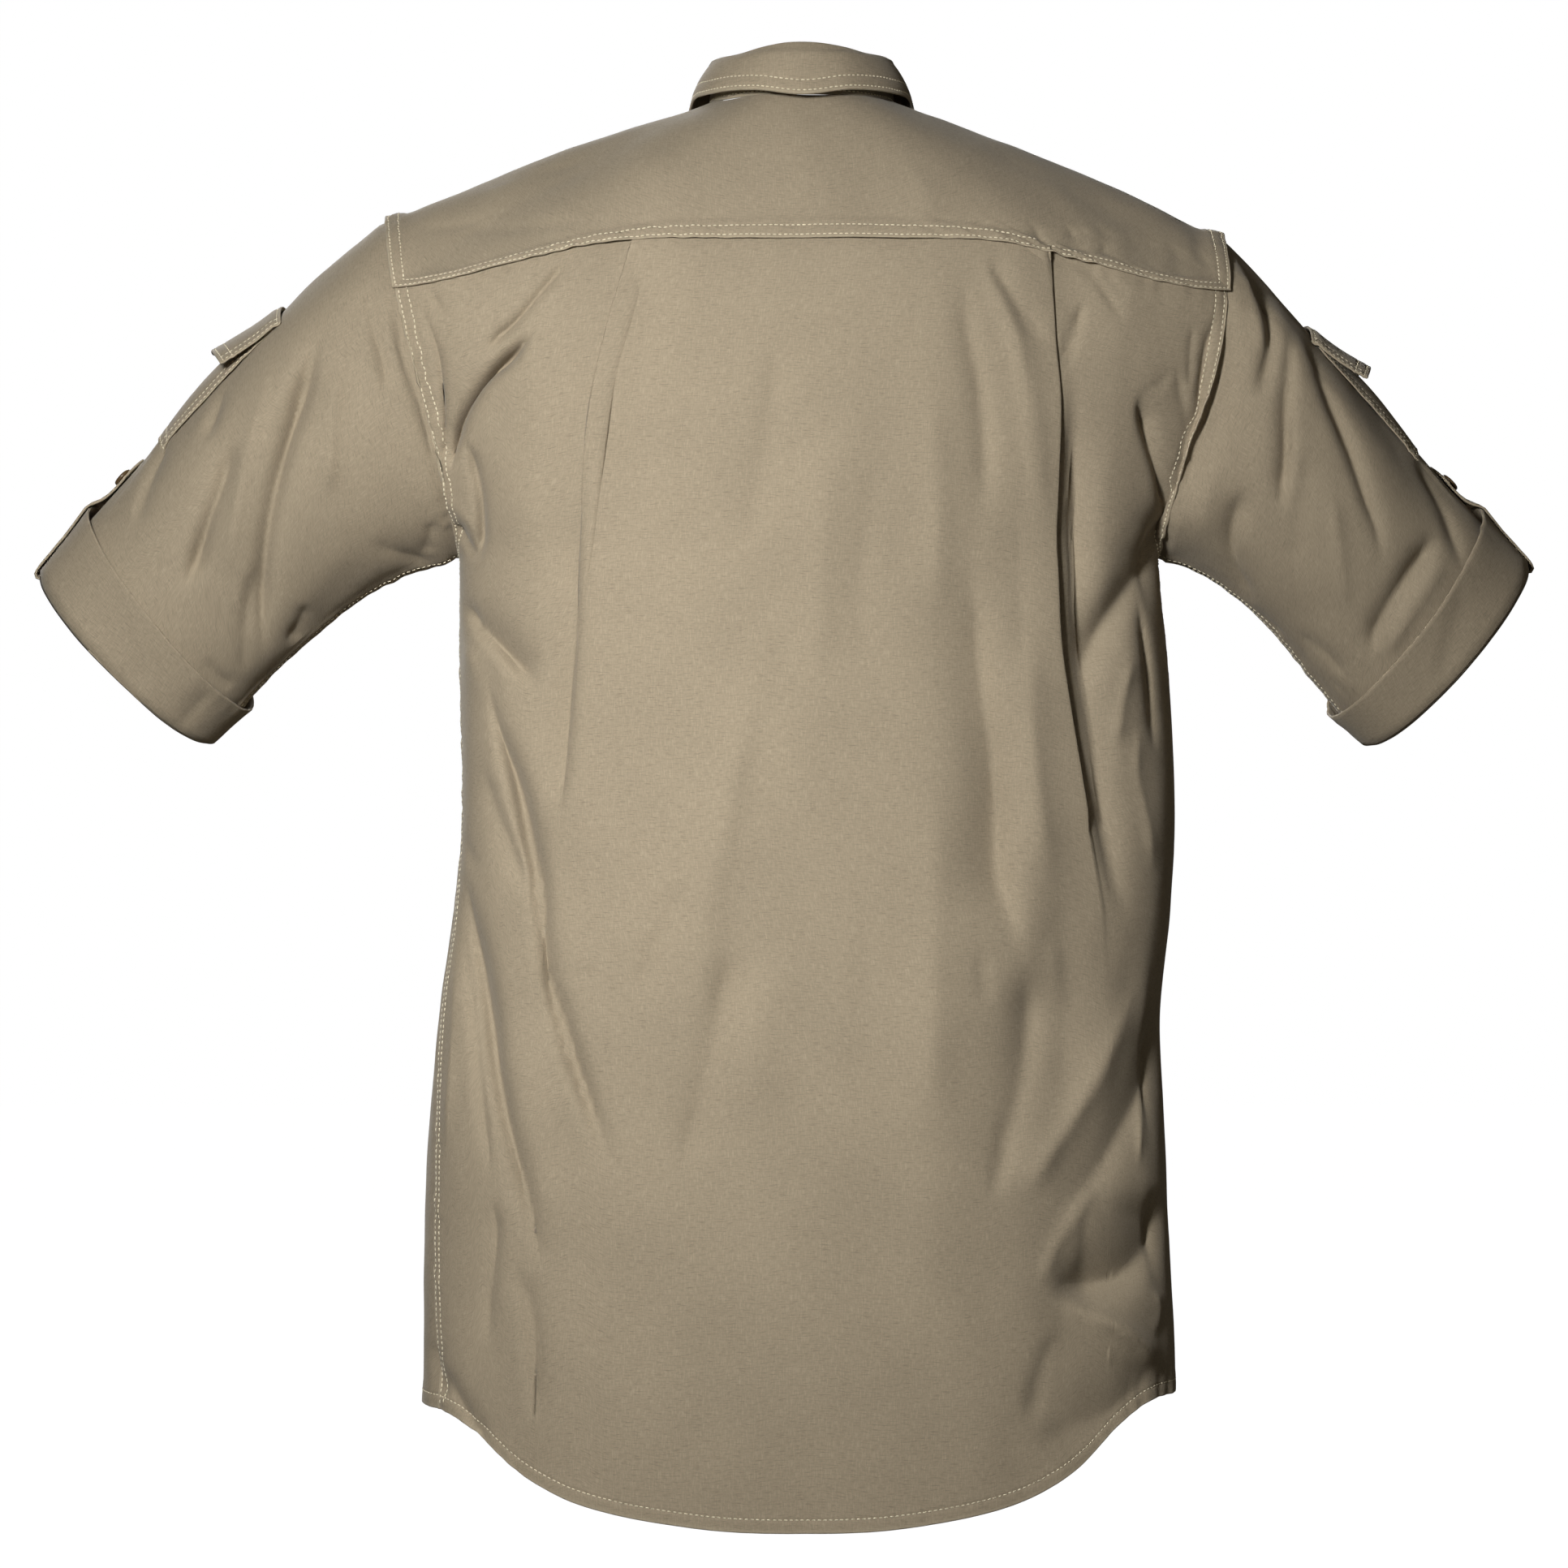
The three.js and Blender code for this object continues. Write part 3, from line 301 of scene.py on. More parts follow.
FOLDS_FRONT = folds("""
14 20 -4.6: 1255,463 1322,608 1370,774
20 14 -4.6: 726,485 650,623 596,797
9 24 -4.2: 1384,730 1344,840 1282,957
24 9 -4.4: 580,726 624,863 682,997
14 28 -5: 1202,930 1232,1240 1188,1597
28 14 -5: 766,974 726,1286 756,1663
18 18 3.4: 1122,1374 1104,1574 1126,1774
9 26 -4.2: 1402,1063 1370,1286 1322,1508
26 9 -4.4: 566,1086 602,1308 654,1552
20 20 2.6: 850,663 832,930 842,1174
20 20 2.4: 1134,620 1152,863 1144,1086
16 16 -2.4: 872,1374 854,1574 882,1752
9 10 -2.6: 1330,380 1350,440 1352,500
10 9 -2.6: 640,390 622,450 624,510
""")
FOLDS_YOKE = folds("""
10 10 -1.8: 498,274 550,283 600,287 660,282 724,272
12 10 -1.2: 588,230 650,214 732,200
7 7 -2.6: 1275,277 1286,297 1297,314
7 7 -2.4: 1322,280 1325,298 1324,316
7 7 -2: 1340,284 1337,300 1338,316
7 7 -2.6: 1366,282 1364,302 1367,326
7 7 -2: 1400,292 1402,310 1398,330
7 7 -2.2: 1422,298 1418,316 1420,334
7 7 -2: 1450,310 1456,328 1454,346
7 7 -2.6: 1474,284 1479,312 1484,344
30 30 1.4: 1120,200 1144,240 1140,285
30 30 1.4: 830,180 800,230 810,280
""")
FOLDS_SLEEVE_BACK = folds("""
15 15 -12: 396,400 378,460 362,515 346,570 332,630 324,690 322,750 326,815
12 14 -9.5: 284,540 274,590 256,640 240,690 228,730
7 8 -5: 276,478 264,512 252,548
8 10 -5: 208,536 192,576 176,616 168,650
8 10 -1.6: 346,416 340,460 330,500
7 10 -5: 450,346 458,392 468,436 480,496
8 8 -1.4: 440,352 441,400 434,450
7 9 -5.5: 484,366 494,430 510,482 526,530 536,580
14 12 3.4: 420,440 408,520 404,620
14 12 3.4: 330,470 306,560 290,640 280,720
10 14 -3.4: 452,668 484,678 516,690 540,694
6 8 -3: 534,640 529,662 522,684
8 14 -3.4: 378,742 368,764 352,792
8 8 -2.6: 250,812 268,832 290,848
9 9 -3.4: 312,690 303,760 298,836
10 12 -2.6: 258,846 236,866 218,892
16 16 -1.2: 190,800 170,830 158,850
8 18 -7: 1530,376 1516,420 1500,472 1482,530 1466,584 1454,636
8 12 -9: 1530,318 1548,350 1562,388 1566,424 1558,462 1548,494
6 8 2.8: 1524,330 1540,360 1551,400 1553,440
13 7 -6.4: 1592,396 1590,450 1586,505 1586,555 1581,604 1577,642
9 13 -6.6: 1606,392 1620,440 1634,482 1652,524 1668,566 1682,612 1696,654 1702,700
15 14 -7.4: 1774,650 1756,680 1734,712 1712,744 1696,776 1688,812
12 12 2.8: 1782,684 1754,728 1726,774 1702,814
8 11 -5: 1742,548 1760,590 1780,632 1794,674 1802,708
16 14 -6: 1540,596 1524,634 1518,672 1530,712 1548,748
24 24 -1.8: 1616,550 1602,630 1596,710
10 10 -2.6: 1596,780 1630,800 1664,836
18 18 2.2: 1500,560 1486,620 1480,670
12 12 2: 1640,600 1650,680 1660,760
6 8 -1.6: 1800,720 1786,780 1770,850
""")
FOLDS_SLEEVE_FRONT = folds("""
14 12 -4.2: 1524,408 1512,480 1478,572
14 16 -4.6: 1608,486 1632,596 1662,730
10 10 2.4: 1570,462 1580,574 1592,686
8 12 -3.4: 1700,560 1690,640 1700,720
9 9 -2.6: 1556,380 1552,440 1560,500
10 14 -3.2: 1470,620 1520,660 1560,700
14 12 -4.2: 446,386 450,474 478,572
14 16 -4.6: 372,462 344,586 318,706
10 10 2.4: 404,462 396,574 386,674
8 10 -3: 290,560 300,640 280,730
8 10 -2.8: 420,340 416,410 400,480
""")

# Sleeves and cuffs
SLEEVE = {
    1: {"x": 378, "y": -34, "z": -305, "tilt": 46, "droop": 0.6},
    -1: {"x": 361, "y": -34, "z": -304, "tilt": 49, "droop": 0.82},
}
SLEEVE_FORWARD_DEG = 10
CUFF_RADIUS_ACROSS = 65.5
CUFF_RADIUS_DEEP = 57
SLEEVE_LENGTH = 240
SLEEVE_END = 0.962
CUFF_DEPTH = 38
CUFF_PROUD = 4.8
CUFF_TOP = 1 - CUFF_DEPTH / SLEEVE_LENGTH
CUFF_MIDDLE = (0.975 + CUFF_TOP) / 2
CUFF_PATH = table(f"""
along off
{SLEEVE_END + 0.003} -0.6
0.99 0
1 0.35
1.004 1.2
0.998 2.05
0.975 2.5
{CUFF_MIDDLE} 3.2
{CUFF_TOP} {CUFF_PROUD}
""")
TAB_PATH = table(f"""
along off
0.93 -2.1
0.99 -2.1
1.009 -1
1.0135 1.2
1.008 3.5
0.98 4.6
{CUFF_MIDDLE} 5.3
{CUFF_TOP + 0.005} {CUFF_PROUD + 2}
{CUFF_TOP - 0.009} {CUFF_PROUD + 1.2}
{CUFF_TOP - 0.03} 3.2
{CUFF_TOP - 0.055} 1.9
{CUFF_TOP - 0.105} 1.8
""")
POCKET = {"from": 5.1, "to": 7.35, "top": 0.305, "end": 0.64, "off": 1.7, "bulge": 3.2}
FLAP = {"from": 5.02, "to": 7.43, "top": 0.28, "end": 0.42, "point": 0.03, "off": 0.5, "proud": 6.5}
TAB = {"middle": 6.15, "half_width": 13, "tip": 9, "button": 0.757}
TAB_STRETCH = 32.5
LIFT = 1.5

# Front closure
OVERLAP = 16
RIGHT_PANEL_END, RIGHT_BEND, RIGHT_UNDER = 44, (38, 32), 19  # where the right front goes under the left
UNDER = LIFT + 0.3
BAND_HALF_WIDTH = 15
BUTTON_RADIUS = 5.6
BUTTON_THICK = 2.6
BUTTON_FACE = 0.72 * BUTTON_THICK
HOLE_OUT = 1.15  # the four holes from the middle, both ways
BUTTON_ROWS = 6
BUTTON_TOP_Z = -112
BUTTON_STEP = 92

# Distances from an edge where the grids have their lines, so that seams and stitch rows come out sharp
SEAM_LINES = [0, 0.5, 1.2, 1.8, 2.4, 4.2, 6.2, 7.0, 7.6, 8.2, 9.6, 12]
HEM_LINES = [0, 0.6, 2.2, 4.2, 6.2, 7.0, 7.8, 9.2, 12]
PLAIN_LINES = [0, 0.7, 2.4]


def mix(a, b, t):
    return a + (b - a) * t


def smooth(t):
    c = np.clip(t, 0, 1)
    return c * c * (3 - 2 * c)


def unit(v):
    return v / np.maximum(np.linalg.norm(v, axis=-1, keepdims=True), 1e-9)


def xyz(x, y, z):
    return np.stack(np.broadcast_arrays(x, y, z), -1).astype(float)


def cubic(t):
    t2, t3 = t * t, t * t * t
    return 2 * t3 - 3 * t2 + 1, t3 - 2 * t2 + t, 3 * t2 - 2 * t3, t3 - t2


def hermite(a, b, leave, arrive, t):
    h = [w[..., None] for w in cubic(t)]
    return a * h[0] + leave * h[1] + b * h[2] + arrive * h[3]


def read(tab, key, column, value):
    """Smooth reading of one column of a table by another that rises or falls."""
    x, y, value = tab[key], tab[column], np.asarray(value, float)
    if x[0] > x[-1]:
        x, value = -x, -value
    slope = np.empty_like(y)
    slope[1:-1] = (y[2:] - y[:-2]) / (x[2:] - x[:-2])
    slope[0] = (y[1] - y[0]) / (x[1] - x[0])
    slope[-1] = (y[-1] - y[-2]) / (x[-1] - x[-2])
    if key == "angle":
        slope[0] = slope[-1] = 0
    i = np.clip(np.searchsorted(x, value, side="right") - 1, 0, len(x) - 2)
    span = x[i + 1] - x[i]
    h = cubic(np.clip((value - x[i]) / span, 0, 1))
    return y[i] * h[0] + slope[i] * span * h[1] + y[i + 1] * h[2] + slope[i + 1] * span * h[3]


def curve(points, count):
    """Smooth line through the points."""
    p = np.array(points, float)
    p = np.vstack([2 * p[0] - p[1], p, 2 * p[-1] - p[-2]])
    t = np.linspace(0, len(p) - 3, count)
    i = np.minimum(t.astype(int), len(p) - 4)
    h = [w[:, None] for w in cubic(t - i)]
    leave, arrive = (p[i + 2] - p[i]) / 2, (p[i + 3] - p[i + 1]) / 2
    return p[i + 1] * h[0] + leave * h[1] + p[i + 2] * h[2] + arrive * h[3]


def seen(points):
    """Where points appear in the photograph, in pixels, or for the front in a like view of it."""
    away = 1 - points[..., 1] / DISTANCE
    across = (AIM[0] - points[..., 0]) / (SCALE * away) * np.where(points[..., 1] > 0, 1, -1)
    return PHOTO / 2 + across, PHOTO / 2 + (AIM[1] - points[..., 2]) / (SCALE * away)


def fold_height(folds, x, y):
    """Height of the folds at places in the photograph."""
    height = np.zeros(x.shape)
    for number, (left, right, deep, path) in enumerate(folds):
        line = curve(path, 4 * len(path))
        reach = 2.6 * max(left, right)
        close = (x > line[:, 0].min() - reach) & (x < line[:, 0].max() + reach)
        close &= (y > line[:, 1].min() - reach) & (y < line[:, 1].max() + reach)
        if not close.any():
            continue
        px, py = x[close], y[close]
        best = np.full(px.shape, 1e9)
        along, sign = np.zeros(px.shape), np.ones(px.shape)
        lengths = np.linalg.norm(np.diff(line, axis=0), axis=1)
        done = np.concatenate([[0], np.cumsum(lengths)]) / lengths.sum()
        for j, (a, b) in enumerate(zip(line[:-1], line[1:])):
            run = b - a
            t = np.clip(((px - a[0]) * run[0] + (py - a[1]) * run[1]) / (run @ run), 0, 1)
            ox, oy = px - a[0] - t * run[0], py - a[1] - t * run[1]
            d = np.hypot(ox, oy)
            nearer = d < best
            best = np.where(nearer, d, best)
            along = np.where(nearer, mix(done[j], done[j + 1], t), along)
            sign = np.where(nearer, np.sign(run[1] * ox - run[0] * oy), sign)
        fade = smooth(along * 4) * smooth((1 - along) * 4)
        uneven = 1 + 0.2 * np.sin(along * 8 + 1.7 * number)
        width = np.where(sign > 0, right, left) * (0.7 + 0.4 * fade)
        height[close] += deep * fade * uneven * np.exp(-1.6 * (best / width) ** 1.4)
    return height


def waves(points, length, seed, count=16):
    """Smooth uneven heights about as large as 1 with bumps of about that length."""
    rng = np.random.default_rng(seed)
    turn = unit(rng.normal(size=(count, 3))) * 2 * math.pi
    turn = turn / (length * rng.uniform(0.7, 1.5, (count, 1)))
    phase = rng.uniform(0, 2 * math.pi, count)
    return np.cos(points @ turn.T + phase).sum(-1) / math.sqrt(count / 2)


# Forms of the pieces, as in the solids


def neck(angle):
    a = np.abs(angle)
    x = NECK_HALF_WIDTH * np.sin(angle * RAD)
    y = NECK_CENTRE_Y + NECK_HALF_DEPTH * np.cos(angle * RAD)
    return xyz(x, y, read(NECK, "angle", "z", np.minimum(a, 360 - a)))


def armhole(side, k):
    i = np.floor(k).astype(int)
    h = cubic(k - i)

    def value(column):
        a, b, c, d = (ARMHOLE[column][(i + j) % ROUND] for j in (-1, 0, 1, 2))
        return b * h[0] + (c - a) / 2 * h[1] + c * h[2] + (d - b) / 2 * h[3]

    x = np.where(side > 0, value("left"), -value("right"))
    return xyz(x, value("y"), np.where(side > 0, value("zl"), value("zr")))


def body_ring(angle, z):
    across, behind = np.sin(angle * RAD), np.cos(angle * RAD)
    width = np.where(across < 0, read(BODY, "z", "right", z), read(BODY, "z", "left", z))
    depth = np.where(behind < 0, read(BODY, "z", "front", z), read(BODY, "z", "back", z))
    power = 2 / SQUARENESS
    x = np.sign(across) * width * np.abs(across) ** power
    y = np.sign(behind) * depth * np.abs(behind) ** power
    return xyz(x, y, z)


def hem_z(angle):
    a = np.abs(angle)
    low = np.where(a < 90, HEM_BACK_Z, HEM_FRONT_Z)
    side = np.where(angle < 0, HEM_SIDE_Z[-1], HEM_SIDE_Z[1])
    return mix(low, side, read(HEM_RISE, "angle", "share", np.where(a < 90, a, 180 - a)))


def yoke_seam(angle):
    side = np.where(angle < 0, -1, 1)
    end = armhole(side, np.full(np.shape(angle), float(YOKE_BACK_END)))
    across = np.abs(np.sin(angle * RAD)) ** (2 / SQUARENESS)

    def level(v):
        return YOKE_DROP_Z - YOKE_SLANT * smooth((np.abs(v) - 80) / 150)

    x = end[..., 0] * across
    rounded = np.abs(np.cos(angle * RAD)) ** 1.7
    z = level(x) + (end[..., 2] - level(end[..., 0])) * across**4
    return xyz(x, end[..., 1] + (YOKE_BACK_Y - end[..., 1]) * rounded, z)


def back_form(angle, row):
    angle, row = np.broadcast_arrays(np.asarray(angle, float), np.asarray(row, float))
    side = np.where(angle < 0, -1, 1)
    upper = np.minimum(row, 1)

    def column(a):
        top, foot = yoke_seam(a), body_ring(a, UNDERARM_Z + 0 * a)
        length = top[..., 2] - foot[..., 2]
        rounded = np.cos(a * RAD) ** 2
        leave = xyz(0, mix(0.1, 0.42, rounded) * length, -length)
        arrive = xyz(0, -0.1 * length * rounded, -length)
        return hermite(top, foot, leave, arrive, upper)

    pull = armhole(side, YOKE_BACK_END * (1 - upper)) - column(side * 90.0)
    high = column(angle) + pull * (np.abs(angle / 90) ** 5)[..., None]
    low = body_ring(angle, mix(UNDERARM_Z, hem_z(angle), row - 1))
    return np.where((row > 1)[..., None], low, high)


def yoke_form(across, out):
    across, out = np.broadcast_arrays(np.asarray(across, float), np.asarray(out, float))
    side = np.where(across < 0, -1, 1)
    a = np.minimum(np.abs(across), 1)
    behind = a < YOKE_BACK_SHARE
    t = np.clip(a / YOKE_BACK_SHARE, 0, 1)
    f = np.clip((a - YOKE_BACK_SHARE) / (1 - YOKE_BACK_SHARE), 0, 1)
    seam = armhole(side, mix(YOKE_BACK_END, YOKE_FRONT_END, f))
    outer = np.where(behind[..., None], yoke_seam(side * 90 * t), seam)
    angle = np.where(behind, YOKE_SHOULDER_DEG * t, mix(YOKE_SHOULDER_DEG, YOKE_NECK_END_DEG, f))
    round_y = np.where(
        behind,
        0.85 * YOKE_ROUND_BACK * (1 - 0.7 * t),
        mix(0.25 * YOKE_ROUND_BACK, -0.8 * YOKE_ROUND_FRONT, f),
    )
    round_z = np.where(behind, mix(0.5 * YOKE_ROUND_BACK, YOKE_ROUND_TOP, t), YOKE_ROUND_TOP)
    inner = neck(side * angle)
    control = mix(inner, outer, 0.5) + xyz(0, round_y, round_z)
    o = out[..., None]
    return mix(mix(inner, control, o), mix(control, outer, o), o)


def side_seam(side, row):
    """Angle of the side seam below the underarm."""
    z = mix(UNDERARM_Z, HEM_SIDE_Z[side], row - 1)
    return read(BODY, "z", "seam_l" if side > 0 else "seam_r", z)


def front_form(side, share, row):
    share, row = np.broadcast_arrays(np.asarray(share, float), np.asarray(row, float))
    angle = side * mix(side_seam(side, row), 180, share)
    upper = np.minimum(row, 1)

    def column(s):
        t = (s - NECK_SHARE) / (1 - NECK_SHARE)
        by_neck = neck(side * mix(YOKE_NECK_END_DEG, 180, t))
        by_yoke = yoke_form(side * 1.001, 1 - s / NECK_SHARE)
        top = np.where((s > NECK_SHARE)[..., None], by_neck, by_yoke)
        foot = body_ring(side * mix(90, 180, s), UNDERARM_Z + 0 * s)
        length = top[..., 2] - foot[..., 2]
        middle = np.sin(s * math.pi / 2)
        leave = xyz(side * 8 * (1 - s), -mix(0.25, 0.5, middle) * length, -length)
        return hermite(top, foot, leave, xyz(0, 0.02 * length, -length), upper)

    pull = armhole(side, YOKE_FRONT_END + (ROUND - YOKE_FRONT_END) * upper) - column(0 * share)
    high = column(share) + pull * ((1 - share) ** 5)[..., None]
    low = body_ring(angle, mix(UNDERARM_Z, hem_z(angle), row - 1))
    return np.where((row > 1)[..., None], low, high)


def sleeve_form(side, k, along):
    k, along = np.broadcast_arrays(np.asarray(k, float), np.asarray(along, float))
    centre = SLEEVE[side]
    level, tilt = math.cos(SLEEVE_FORWARD_DEG * RAD), centre["tilt"] * RAD
    forward = math.sin(SLEEVE_FORWARD_DEG * RAD)
    axis = np.array([side * math.sin(tilt) * level, -forward, -math.cos(tilt) * level])
    rise = np.array([side * math.cos(tilt), 0, math.sin(tilt)])
    back = unit(np.array([0, 1.0, 0]) - axis * axis[1])
    turn = (k / ROUND * 2 * math.pi)[..., None]
    start = armhole(side, k)
    end = np.array([side * centre["x"], centre["y"], centre["z"]], float)
    end = end - rise * CUFF_RADIUS_ACROSS * np.cos(turn) + back * CUFF_RADIUS_DEEP * np.sin(turn)
    length = np.linalg.norm(end - start, axis=-1, keepdims=True)
    under = (1 + np.cos(turn[..., 0])) / 2
    out = xyz(side * mix(0.78, 0.97, under), -0.05, mix(-centre["droop"], -0.1, under))
    leave = unit(out + back * 0.22 * np.sin(turn)) * length
    sag = xyz(0, 0, mix(0.02, 0.06, 1 - under)) * length
    return hermite(start, end, leave, axis * length - sag, along)


def on(form, u, v, off=0.0, folds_back=(), folds_front=(), flip=1):
    """Points of a form moved out by off, with the folds where it faces back or front."""
    e = 0.004
    p = form(u, v)
    n = flip * unit(np.cross(form(u + e, v) - form(u - e, v), form(u, v + e) - form(u, v - e)))
    facing = smooth(np.abs(n[..., 1]) * 2.5 - 0.2)
    x, y = seen(p)
    behind = n[..., 1] > 0
    height = facing * np.where(behind, fold_height(folds_back, x, y), fold_height(folds_front, x, y))
    level = smooth((np.abs(n[..., 1]) - 0.25) * 3)[..., None] * 0.8
    way = unit(mix(n, xyz(0 * x, np.where(behind, 1.0, -1.0), 0 * x), level))
    return p + n * np.asarray(off + 0 * x)[..., None] + way * height[..., None]


def on_back(angle, row, off=0.0):
    return on(back_form, angle, row, off, FOLDS_BACK, FOLDS_FRONT)


def on_front(side, share, row, off=0.0):
    return on(lambda s, r: front_form(side, s, r), share, row, off, FOLDS_BACK, FOLDS_FRONT, side)


def on_yoke(across, out, off=0.0):
    return on(yoke_form, across, out, off, FOLDS_YOKE, ())


def on_sleeve(side, k, along, off=0.0):
    form = lambda a, b: sleeve_form(side, a, b)
    return on(form, k, along, off, FOLDS_SLEEVE_BACK, FOLDS_SLEEVE_FRONT, side)


def grid(u, v):
    """Rows of v and columns of u, as two arrays."""
    return np.meshgrid(np.asarray(u, float), np.asarray(v, float))


def respace(points, axis, first, last, step):
    """The same grid with its lines along one axis at distances from both ends and a step between."""
    q = np.moveaxis(points, axis, 0)
    s = np.concatenate([np.zeros((1, q.shape[1])), np.cumsum(np.linalg.norm(np.diff(q, axis=0), axis=-1), 0)])
    inner = max(2, round((s[-1].mean() - first[-1] - last[-1]) / step))
    made = np.empty((len(first) + len(last) + inner - 1, q.shape[1], 3))
    for j in range(q.shape[1]):
        end = s[-1, j]
        middle = np.linspace(first[-1], end - last[-1], inner + 1)[1:-1]
        at = np.concatenate([first, middle, end - np.array(last[::-1])])
        for c in range(3):
            made[:, j, c] = np.interp(at, s[:, j], q[:, j, c])
    return np.moveaxis(made, 0, axis)


def net(points, down, over):
    """A grid with its rows and then its columns spaced anew, each by lines at both ends and a step."""
    return respace(respace(points, 0, *down), 1, *over)


def normals(points, closed):
    if closed:
        across = np.roll(points, -1, 1) - np.roll(points, 1, 1)
    else:
        across = np.gradient(points, axis=1)
    return unit(np.cross(across, np.gradient(points, axis=0)))


def distances(points, closed):
    """Distance of each point from each edge of its grid, along the grid's lines."""
    down = np.linalg.norm(np.diff(points, axis=0), axis=-1)
    top = np.concatenate([np.zeros((1, points.shape[1])), np.cumsum(down, 0)])
    over = np.linalg.norm(np.diff(points, axis=1), axis=-1)
    left = np.concatenate([np.zeros((points.shape[0], 1)), np.cumsum(over, 1)], 1)
    return {"top": top, "bottom": top[-1:] - top, "left": left, "right": left[:, -1:] - left}


def soften(points, times, border):
    """A grid blurred along its columns and rows some times each, except near its first and last row."""
    blurred = points.copy()
    for axis, count in enumerate(times):
        line = np.moveaxis(blurred, axis, 0)
        for _ in range(count):
            line[1:-1] = (line[:-2] + 2 * line[1:-1] + line[2:]) / 4
    d = distances(points, False)
    return mix(points, blurred, smooth(np.minimum(d["top"], d["bottom"]) / border)[..., None])


def ripple(s, seed):
    """Uneven puckers along a seam."""
    rng = np.random.default_rng(seed)
    total = 0
    for period in (10.5, 14.0, 23.0):
        total = total + np.sin(2 * math.pi * s / (period * rng.uniform(0.9, 1.1)) + rng.uniform(0, 6.3))
    return total / 1.8 * (0.75 + 0.5 * np.sin(s / 37.0 + rng.uniform(0, 6.3)))


# Seams: how far the layers below raise the cloth and over which width, stitch rows and puckers
SEAM = {"raise": 0.7, "wide": 9.5, "rows": (ROW_A, ROW_B), "pucker": 0.45}
BELOW = {"raise": -0.9, "wide": 5, "rows": (), "pucker": 0.25}
ARM_SEAM = {"raise": 0.15, "wide": 8.5, "rows": (ROW_A, ROW_B), "pucker": 0.36}
YOKE_ARM = {**ARM_SEAM, "thread": 0.28}
HEM = {"raise": 0.35, "wide": 8, "rows": (HEM_ROW,), "pucker": 0.35}
EDGE = {"raise": 0.0, "wide": 8, "rows": (ROW_A, ROW_B), "pucker": 0.16}


def dress(points, edges, out, seed, rumple, closed):
    """Points moved out by seams, stitch rows, puckers and small rumples, with the wear at each point."""
    n = normals(points, closed) * out
    d = distances(points, closed)
    height = rumple * waves(points * [1, 1, 0.5], 46, seed)
    height += 0.2 * rumple * waves(points * [1, 1, 0.7], 19, seed + 1)
    wear = np.zeros(height.shape)
    for number, (edge, seam) in enumerate(edges.items()):
        away = d[edge]
        s = d["left"] if edge in ("top", "bottom") else d["top"]
        height += seam["raise"] * (1 - smooth((away - seam["wide"]) / 2.5))
        fall = np.exp(-((away / (seam["wide"] + 5)) ** 2))
        height += seam["pucker"] * fall * ripple(s, seed + 7 * number)
        for row in seam["rows"]:
            height -= 0.4 * np.exp(-(((away - row) / 0.75) ** 2))
        if seam["rows"]:
            wear = np.maximum(wear, np.exp(-((away / 1.2) ** 2)))
    return points + n * height[..., None], wear


def mesh_object(name, points, faces, material, body="root"):
    mesh = bpy.data.meshes.new(name)
    mesh.from_pydata((points * MM).tolist(), [], faces)
    mesh.polygons.foreach_set("use_smooth", np.ones(len(mesh.polygons), bool))
    mesh.materials.append(material)
    obj = bpy.data.objects.new(name, mesh)
    bpy.context.scene.collection.objects.link(obj)
    if body:
        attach(obj, body)
    return obj


def sparse(index, closed):
    """Faces on every second line of a grid that keep every point of its border."""
    rows, cols = index.shape
    down = sorted({*range(0, rows - 1, 2), rows - 1})
    over = sorted({*range(0, cols - 1, 2), cols - 1})
    faces = []
    for a, b in zip(down[:-1], down[1:]):
        for c, d in zip(over[:-1], over[1:]):
            top = index[a, c : d + 1 : 1 if a == 0 else d - c]
            bottom = index[b, c : d + 1 : 1 if b == rows - 1 else d - c]
            right = index[a + 1 : b, d] if d == cols - 1 and not closed else []
            left = index[a + 1 : b, c] if c == 0 and not closed else []
            faces.append([*map(int, (*top, *right, *bottom[::-1], *left[::-1]))])
    return faces


